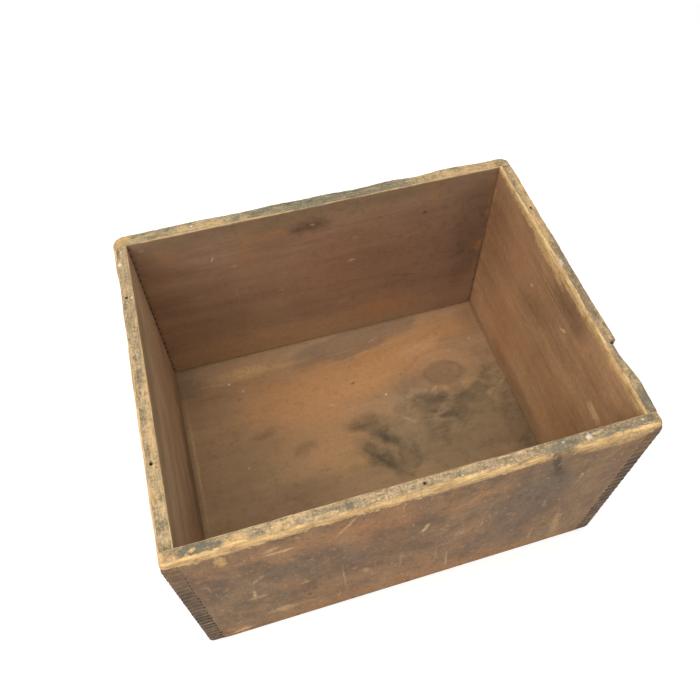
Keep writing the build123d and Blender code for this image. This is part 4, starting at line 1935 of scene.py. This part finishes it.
def right_finish() -> WoodFinish:
    """The right end's finish: warm brown inside, with a broad bare inner arris and a few scars.

    Returns:
        The finish.
    """
    inner = marks(
        (Tone.ORANGE, (123, 52, 7, 14, 0, 0.6, 0.6), (60, 60, 80, 40, 0, 0.35, 0.7)),
        (Tone.RED, (118, 165, 34, 50, 0, 0.4, 0.8)),
        (Tone.BROWN, (128, 205, 26, 34, 0, 0.4, 0.8)),
        (Tone.ORANGE, (-70, 66, 60, 50, 0, 0.4, 0.8)),
        (Tone.RED, (-80, 195, 20, 12, 0, 0.4, 0.7)),
        (Tone.BROWN, (-22, 219, 30, 11, 0, 0.55, 0.8), (0, 22, 60, 12, 0, 0.35, 0.7),
         (30, 154, 22, 3, 0, 0.25, 0.7)),
        (Tone.OLIVE, (-45, 22, 30, 8, 0, 0.4, 0.6)),
        (Tone.DARK, (0, 205, 24, 1.2, 0, 0.3, 0.6)),
        (Tone.PALE, (-106, 163.5, 12.5, 6.5, 4, 1.6, 0.4)),
        (Tone.OCHRE, (123, 48, 3.2, 10, 8, 0.45, 0.7), (33, 234, 24, 6, -4, 1.5, 0.3),
         (8, 231, 14, 4, 10, 1.1, 0.4), (-100, 236, 40, 4, 0, 0.6, 0.5), (146, 205, 3, 14, 0, 0.4, 0.6)),
        (Tone.PALE, (5, 208, 26, 0.8, 1, 0.35, 0.6), (-2, 203, 20, 0.8, 0, 0.35, 0.6),
         (39, 179, 3.6, 1.5, -28, 1.1, 0.5), (-33, 117, 6, 1.5, -20, 0.35, 0.6),
         (27, 124, 5, 1, -30, 0.5, 0.6), (17, 63, 1.5, 2.5, 0, 0.45, 0.6), (-33, 42, 2, 2, 0, 0.4, 0.6),
         (129, 150, 1.5, 2.5, 0, 0.45, 0.6), (4, 150, 2, 2, 0, 0.35, 0.6)),
        # The cream patches low on this wall are painted bounce light from the floor.
        (Tone.CREAM, (-30, 50, 62, 34, 0, 0.3, 0.8), (110, 45, 40, 30, 0, 0.2, 0.8)),
        (Tone.RED, (60, 190, 50, 34, 0, 0.3, 0.8)),
        (Tone.PALE, (-27.5, 190, 6, 2, -34, 1.6, 0.4)),
    )
    rim = marks(
        (Tone.GREY, (-20, 6, 60, 4, 0, 0.6, 0.5)),
        (Tone.SLATE, (-138, 6, 10, 6, 0, 0.8, 0.4), (50, 4, 30, 3, 0, 0.4, 0.5)),
        (Tone.OCHRE, (65, 6, 26, 4, 0, 0.5, 0.6), (100, 3, 34, 2.5, 0, 0.5, 0.6)),
        (Tone.DARK, (-20, 8.5, 22, 0.5, 0, 0.5, 0.5), (147.2, 6, 0.6, 7, 0, 0.7, 0.5),
         (147, 11, 1.6, 1.8, 0, 0.9, 0.4), (-79.5, 5, 3, 1.4, 0, 0.9, 0.4), (-86, 5.8, 9, 0.7, 0, 0.7, 0.5),
         (-149, 6, 0.5, 7, 0, 0.6, 0.5)),
        (Tone.WHITE, (14, 8, 4, 1.8, 0, 0.5, 0.5)),
    )
    return WoodFinish(
        "right_wood", Lie.RIGHT, 4.0,
        inner=Palette(shade(154, 118, 84), shade(198, 154, 111)),
        rim=Palette(shade(120, 106, 82), shade(190, 162, 120)),
        inner_bare=Bare(2.6, 7.0, 0.95),
        inner_marks=inner, rim_marks=rim, rim_ochre=0.3, grain=0.8, sand=0.3, inner_scuffs=0.4,
    )


def bottom_finish() -> WoodFinish:
    """The bottom's finish: orange-brown, with a large knot, a grey strip at the back and dark blots.

    Returns:
        The finish.
    """
    floor = marks(
        (Tone.ORANGE, (-20, 74, 110, 32, 6, 0.8, 0.5), (110, 112, 90, 24, 12, 0.75, 0.6),
         (-40, 10, 70, 40, -14, 0.5, 0.6), (-84, 106, 36, 16, 6, 0.4, 0.8)),
        (Tone.RED, (100, -22, 22, 10, -10, 0.5, 0.6)),
        (Tone.BROWN, (-165, 70, 34, 60, 0, 0.2, 0.7), (-140, -10, 60, 60, 0, 0.22, 0.7)),
        (Tone.OLIVE, (-110, -20, 70, 80, 0, 0.3, 0.8)),
        (Tone.BROWN, (-70, -50, 74, 24, 0, 0.35, 0.8), (-105, 38, 14, 6, 10, 0.5, 0.6),
         (-64, 4, 12, 7, 30, 0.45, 0.6), (176, -10, 16, 70, 0, 0.5, 0.6)),
        (Tone.OLIVE, (100, -16, 95, 44, 6, 0.75, 0.7)),
        (Tone.SMOKE, (128, -30, 60, 34, 0, 0.25, 0.8)),
        (Tone.OLIVE, (160, 24, 30, 26, 0, 0.5, 0.6)),
        (Tone.DUST_AND_BOUNCE_LIGHT, (-100, 134, 100, 16, 0, 0.45, 0.8)),
        (Tone.ORANGE, (-92, 132, 40, 12, 0, 0.3, 0.8)),
        (Tone.GREY, (80, 38, 22, 22, 0, 0.4, 0.8), (60, 0, 40, 20, 0, 0.3, 0.7)),
        (Tone.DUST_AND_BOUNCE_LIGHT, (10, 140, 150, 16, 0, 0.4, 0.6)),
        (Tone.PURPLE, (30, 130, 84, 18, 8, 0.5, 0.12)),
        (Tone.SMOKE, (-180, 122, 18, 26, 0, 0.35, 0.8), (184, -66, 12, 60, 0, 0.55, 0.8),
         (118, -46, 50, 16, -14, 0.25, 0.8)),
        (Tone.ORANGE, (118, 103, 26, 7, 4, 0.5, 0.7)),
        (Tone.CREAM, (106, 100, 24, 7, 6, 0.2, 0.8)),
        (Tone.GREY, (180, 128, 18, 18, 0, 0.4, 0.8)),
        (Tone.SMOKE, (8, 21, 20, 8.5, -8, 0.75, 0.7), (27, -5, 22, 9, -46, 0.8, 0.7),
         (18, -30, 27, 9, -46, 0.85, 0.7), (46, -36, 9, 14, 10, 0.55, 0.7), (98, 28, 17, 9, -20, 0.8, 0.7),
         (131, 20, 12, 8, 0, 0.8, 0.7), (106, 4, 22, 9, -12, 0.85, 0.7), (90, -12, 11, 16, 0, 0.5, 0.8)),
        (Tone.DARK, (28, -6, 13, 3.2, -50, 0.45, 0.8), (17, -31, 20, 3, -48, 0.5, 0.8),
         (105, 1, 12, 3.5, -12, 0.5, 0.8), (134, 20, 7, 3, 12, 0.4, 0.8), (107, 26, 7, 2.2, -30, 0.45, 0.8),
         (11, 73, 2.8, 1.8, 10, 0.8, 0.5), (13, 97.5, 2.4, 1.2, 0, 0.6, 0.5), (70, 70, 2, 1.5, 0, 0.5, 0.6),
         (-123, 90, 3, 2, 0, 0.4, 0.6), (122, 53, 5, 1.4, 40, 0.3, 0.8)),
        (Tone.OCHRE, (-112, 124, 28, 7, 0, 0.75, 0.8), (-60, 121, 26, 3, 0, 0.35, 0.7),
         (30, 110, 60, 1.4, 7, 0.25, 0.8)),
        (Tone.PALE, (-150, 116, 20, 1, -4, 0.4, 0.7), (15, 119, 24, 0.8, 2, 0.3, 0.7),
         (52, 125, 6, 1.6, 20, 0.35, 0.7), (-184, 20, 1.4, 60, 0, 0.35, 0.8),
         (-20, 52, 3.5, 1.5, -30, 0.35, 0.6), (62, 8, 9, 2, -40, 0.3, 0.7)),
        (Tone.WHITE, (-131, 113, 1.8, 1.5, 0, 0.7, 0.5), (-117, 99.5, 1.2, 1.8, 0, 0.5, 0.5),
         (45, 48, 1.2, 1.2, 0, 0.8, 0.5)),
        (Tone.OCHRE, (103, 39, 3.4, 1.6, 25, 0.6, 0.6)),
        (Tone.WHITE, (168, 94, 1.4, 1.4, 0, 0.5, 0.5), (-130, 2, 1.2, 1.2, 0, 0.4, 0.5)),
    )
    return WoodFinish(
        "bottom_wood", Lie.BOTTOM, 5.0,
        inner=Palette(shade(142, 112, 80), shade(172, 137, 100)),
        rim=Palette(shade(132, 102, 72), shade(162, 126, 90)),
        inner_marks=floor, knot=Knot((124.0, 57.0), (27.0, 19.0)), grain=0.6, sand=0.14,
    )


@dataclass(frozen=True)
class Studio:
    """A plain pale floor, soft light from above and the front left, and the photograph's viewpoint."""

    camera_place: tuple[float, float, float] = (-115.98, -343.61, 767.58)
    camera_turn: tuple[float, float, float] = (35.0876, -0.3376, -16.5882)
    lens: float = 37.5092
    sensor: float = 36.0
    shift: tuple[float, float] = (-0.005807, -0.047381)
    clip: tuple[float, float] = (0.01, 50.0)
    sky: float = 0.55
    sky_colour: Colour = (1.0, 0.985, 0.96, 1.0)
    floor_half: float = 6000.0
    floor_drop: float = 0.05
    floor_colour: Colour = (0.8, 0.8, 0.8, 1.0)
    seen_colour: Colour = (0.72, 0.72, 0.72, 1.0)
    glow: float = 0.42
    fade: tuple[float, float] = (0.45, 1.1)

    def add_camera(self) -> None:
        """Puts the camera where the photograph was taken from."""
        data = bpy.data.cameras.new("camera")
        data.sensor_fit = "HORIZONTAL"
        data.sensor_width = self.sensor
        data.lens = self.lens
        data.shift_x, data.shift_y = self.shift
        data.clip_start, data.clip_end = self.clip
        camera = bpy.data.objects.new("camera", data)
        camera.location = [value / MILLIMETRES for value in self.camera_place]
        camera.rotation_euler = [math.radians(value) for value in self.camera_turn]
        bpy.context.scene.collection.objects.link(camera)
        bpy.context.scene.camera = camera

    def add_lamp(self, name: str, place: tuple, target: tuple, size: float, power: float) -> None:
        """Adds a square area lamp.

        Args:
            name: Its name.
            place: Where it hangs, in metres.
            target: Where it points, in metres.
            size: Length of its side in metres.
            power: Its power in watts.
        """
        data = bpy.data.lights.new(name, "AREA")
        data.shape = "SQUARE"
        data.size = size
        data.energy = power
        lamp = bpy.data.objects.new(name, data)
        lamp.location = place
        x, y, z = np.array(target, float) - np.array(place, float)
        lamp.rotation_euler = (math.atan2(math.hypot(x, y), -z), 0.0, math.atan2(y, x) - math.pi / 2.0)
        bpy.context.scene.collection.objects.link(lamp)

    def _seen_directly(self, tree: NodeTree) -> Wire:
        """1 for the rays that show the background: from the camera, or by way of gloss or glass.

        Args:
            tree: The tree that is being made.

        Returns:
            1 for such a ray, and 0 for the others.
        """
        path = tree.node("LightPath")
        names = ("Is Camera Ray", "Is Glossy Ray", "Is Transmission Ray")
        return tree.largest([Wire(tree, path.outputs[name]) for name in names])

    def add_world(self) -> None:
        """Lights the box from all round, and shows white where the floor ends."""
        world = bpy.data.worlds.new("studio")
        tree = NodeTree(world)
        light = tree.wire("Background", {"Color": self.sky_colour, "Strength": self.sky})
        white = tree.wire("Background", {"Color": (1.0, 1.0, 1.0, 1.0)})
        chosen = tree.wire("MixShader", {0: self._seen_directly(tree), 1: light, 2: white})
        tree.node("OutputWorld", {0: chosen})
        bpy.context.scene.world = world

    def _floor_finish(self) -> bpy.types.Material:
        """A grey that lights the box, and that the camera sees glow and fade to white with distance.

        Returns:
            The floor's material.
        """
        tree = NodeTree(bpy.data.materials.new("studio_floor"))
        plain = tree.wire("BsdfDiffuse", {"Color": self.floor_colour})
        seen = tree.wire("BsdfDiffuse", {"Color": self.seen_colour})
        glow = tree.wire("Emission", {"Strength": self.glow})
        glowing = tree.wire("AddShader", {0: seen, 1: glow})
        far = tree.length(tree.wire("TexCoord", output="Object")).step(*self.fade)
        faded = tree.wire("MixShader", {0: far, 1: glowing, 2: tree.wire("Emission")})
        chosen = tree.wire("MixShader", {0: self._seen_directly(tree), 1: plain, 2: faded})
        tree.node("OutputMaterial", {0: chosen})
        return tree.owner

    def add_floor(self) -> None:
        """Lays a pale floor that the camera sees as white, with the box's soft shadow on it."""
        half, low = self.floor_half, -self.floor_drop
        corners = np.array([(-half, -half, low), (half, -half, low), (half, half, low), (-half, half, low)])
        floor = add_mesh("studio_floor", corners, [(0, 1, 2, 3)], self._floor_finish(), CREASE)

    def build(self) -> None:
        """Sets up the whole studio."""
        self.add_camera()
        self.add_world()
        self.add_floor()
        self.add_lamp("key", (-1.2, -0.6, 1.6), (0.0, 0.0, 0.1), 1.3, 17.0)
        self.add_lamp("overhead", (0.0, 0.0, 2.0), (0.0, 0.0, 0.0), 1.6, 22.0)
        bpy.context.scene.view_settings.view_transform = "Standard"
        log.info("studio ready")


def main() -> None:
    """Builds the boards, the nails and the studio, in that order."""
    logging.basicConfig(level=logging.INFO, format="%(name)s: %(message)s")
    sizes = BoxSizes.from_frame()
    shared = {"sizes": sizes, "joints": Joints(sizes.height), "wear": Wear(sizes)}
    boards = [
        FrontBoard("side_wood", front_finish(), seed=101, **shared),
        Board("side_wood", back_finish(), seed=202, **shared),
        Board("end_wood", left_finish(), seed=303, **shared),
        RightEnd("end_wood", right_finish(), seed=404, **shared),
        BottomBoard("bottom_wood", bottom_finish(), seed=505, **shared),
    ]
    iron = IronFinish().build()
    nails = Nailing(sizes).rows()
    lid_holes = LidHoles(sizes)
    points, faces = joined([solid for row in nails for solid in row.bores()] + lid_holes.solids())
    cutter = add_mesh("cutter", points, faces, iron, CREASE)
    for board in boards:
        piece = board.build()
        cut_away(piece, cutter)
        board.paint(piece, [*nails, lid_holes])
        log.info("%s: %d faces with its holes", piece.name, len(piece.data.polygons))
    bpy.data.objects.remove(cutter)
    for row in nails:
        row.build(iron)
    Studio().build()


if __name__ == "__main__":
    main()
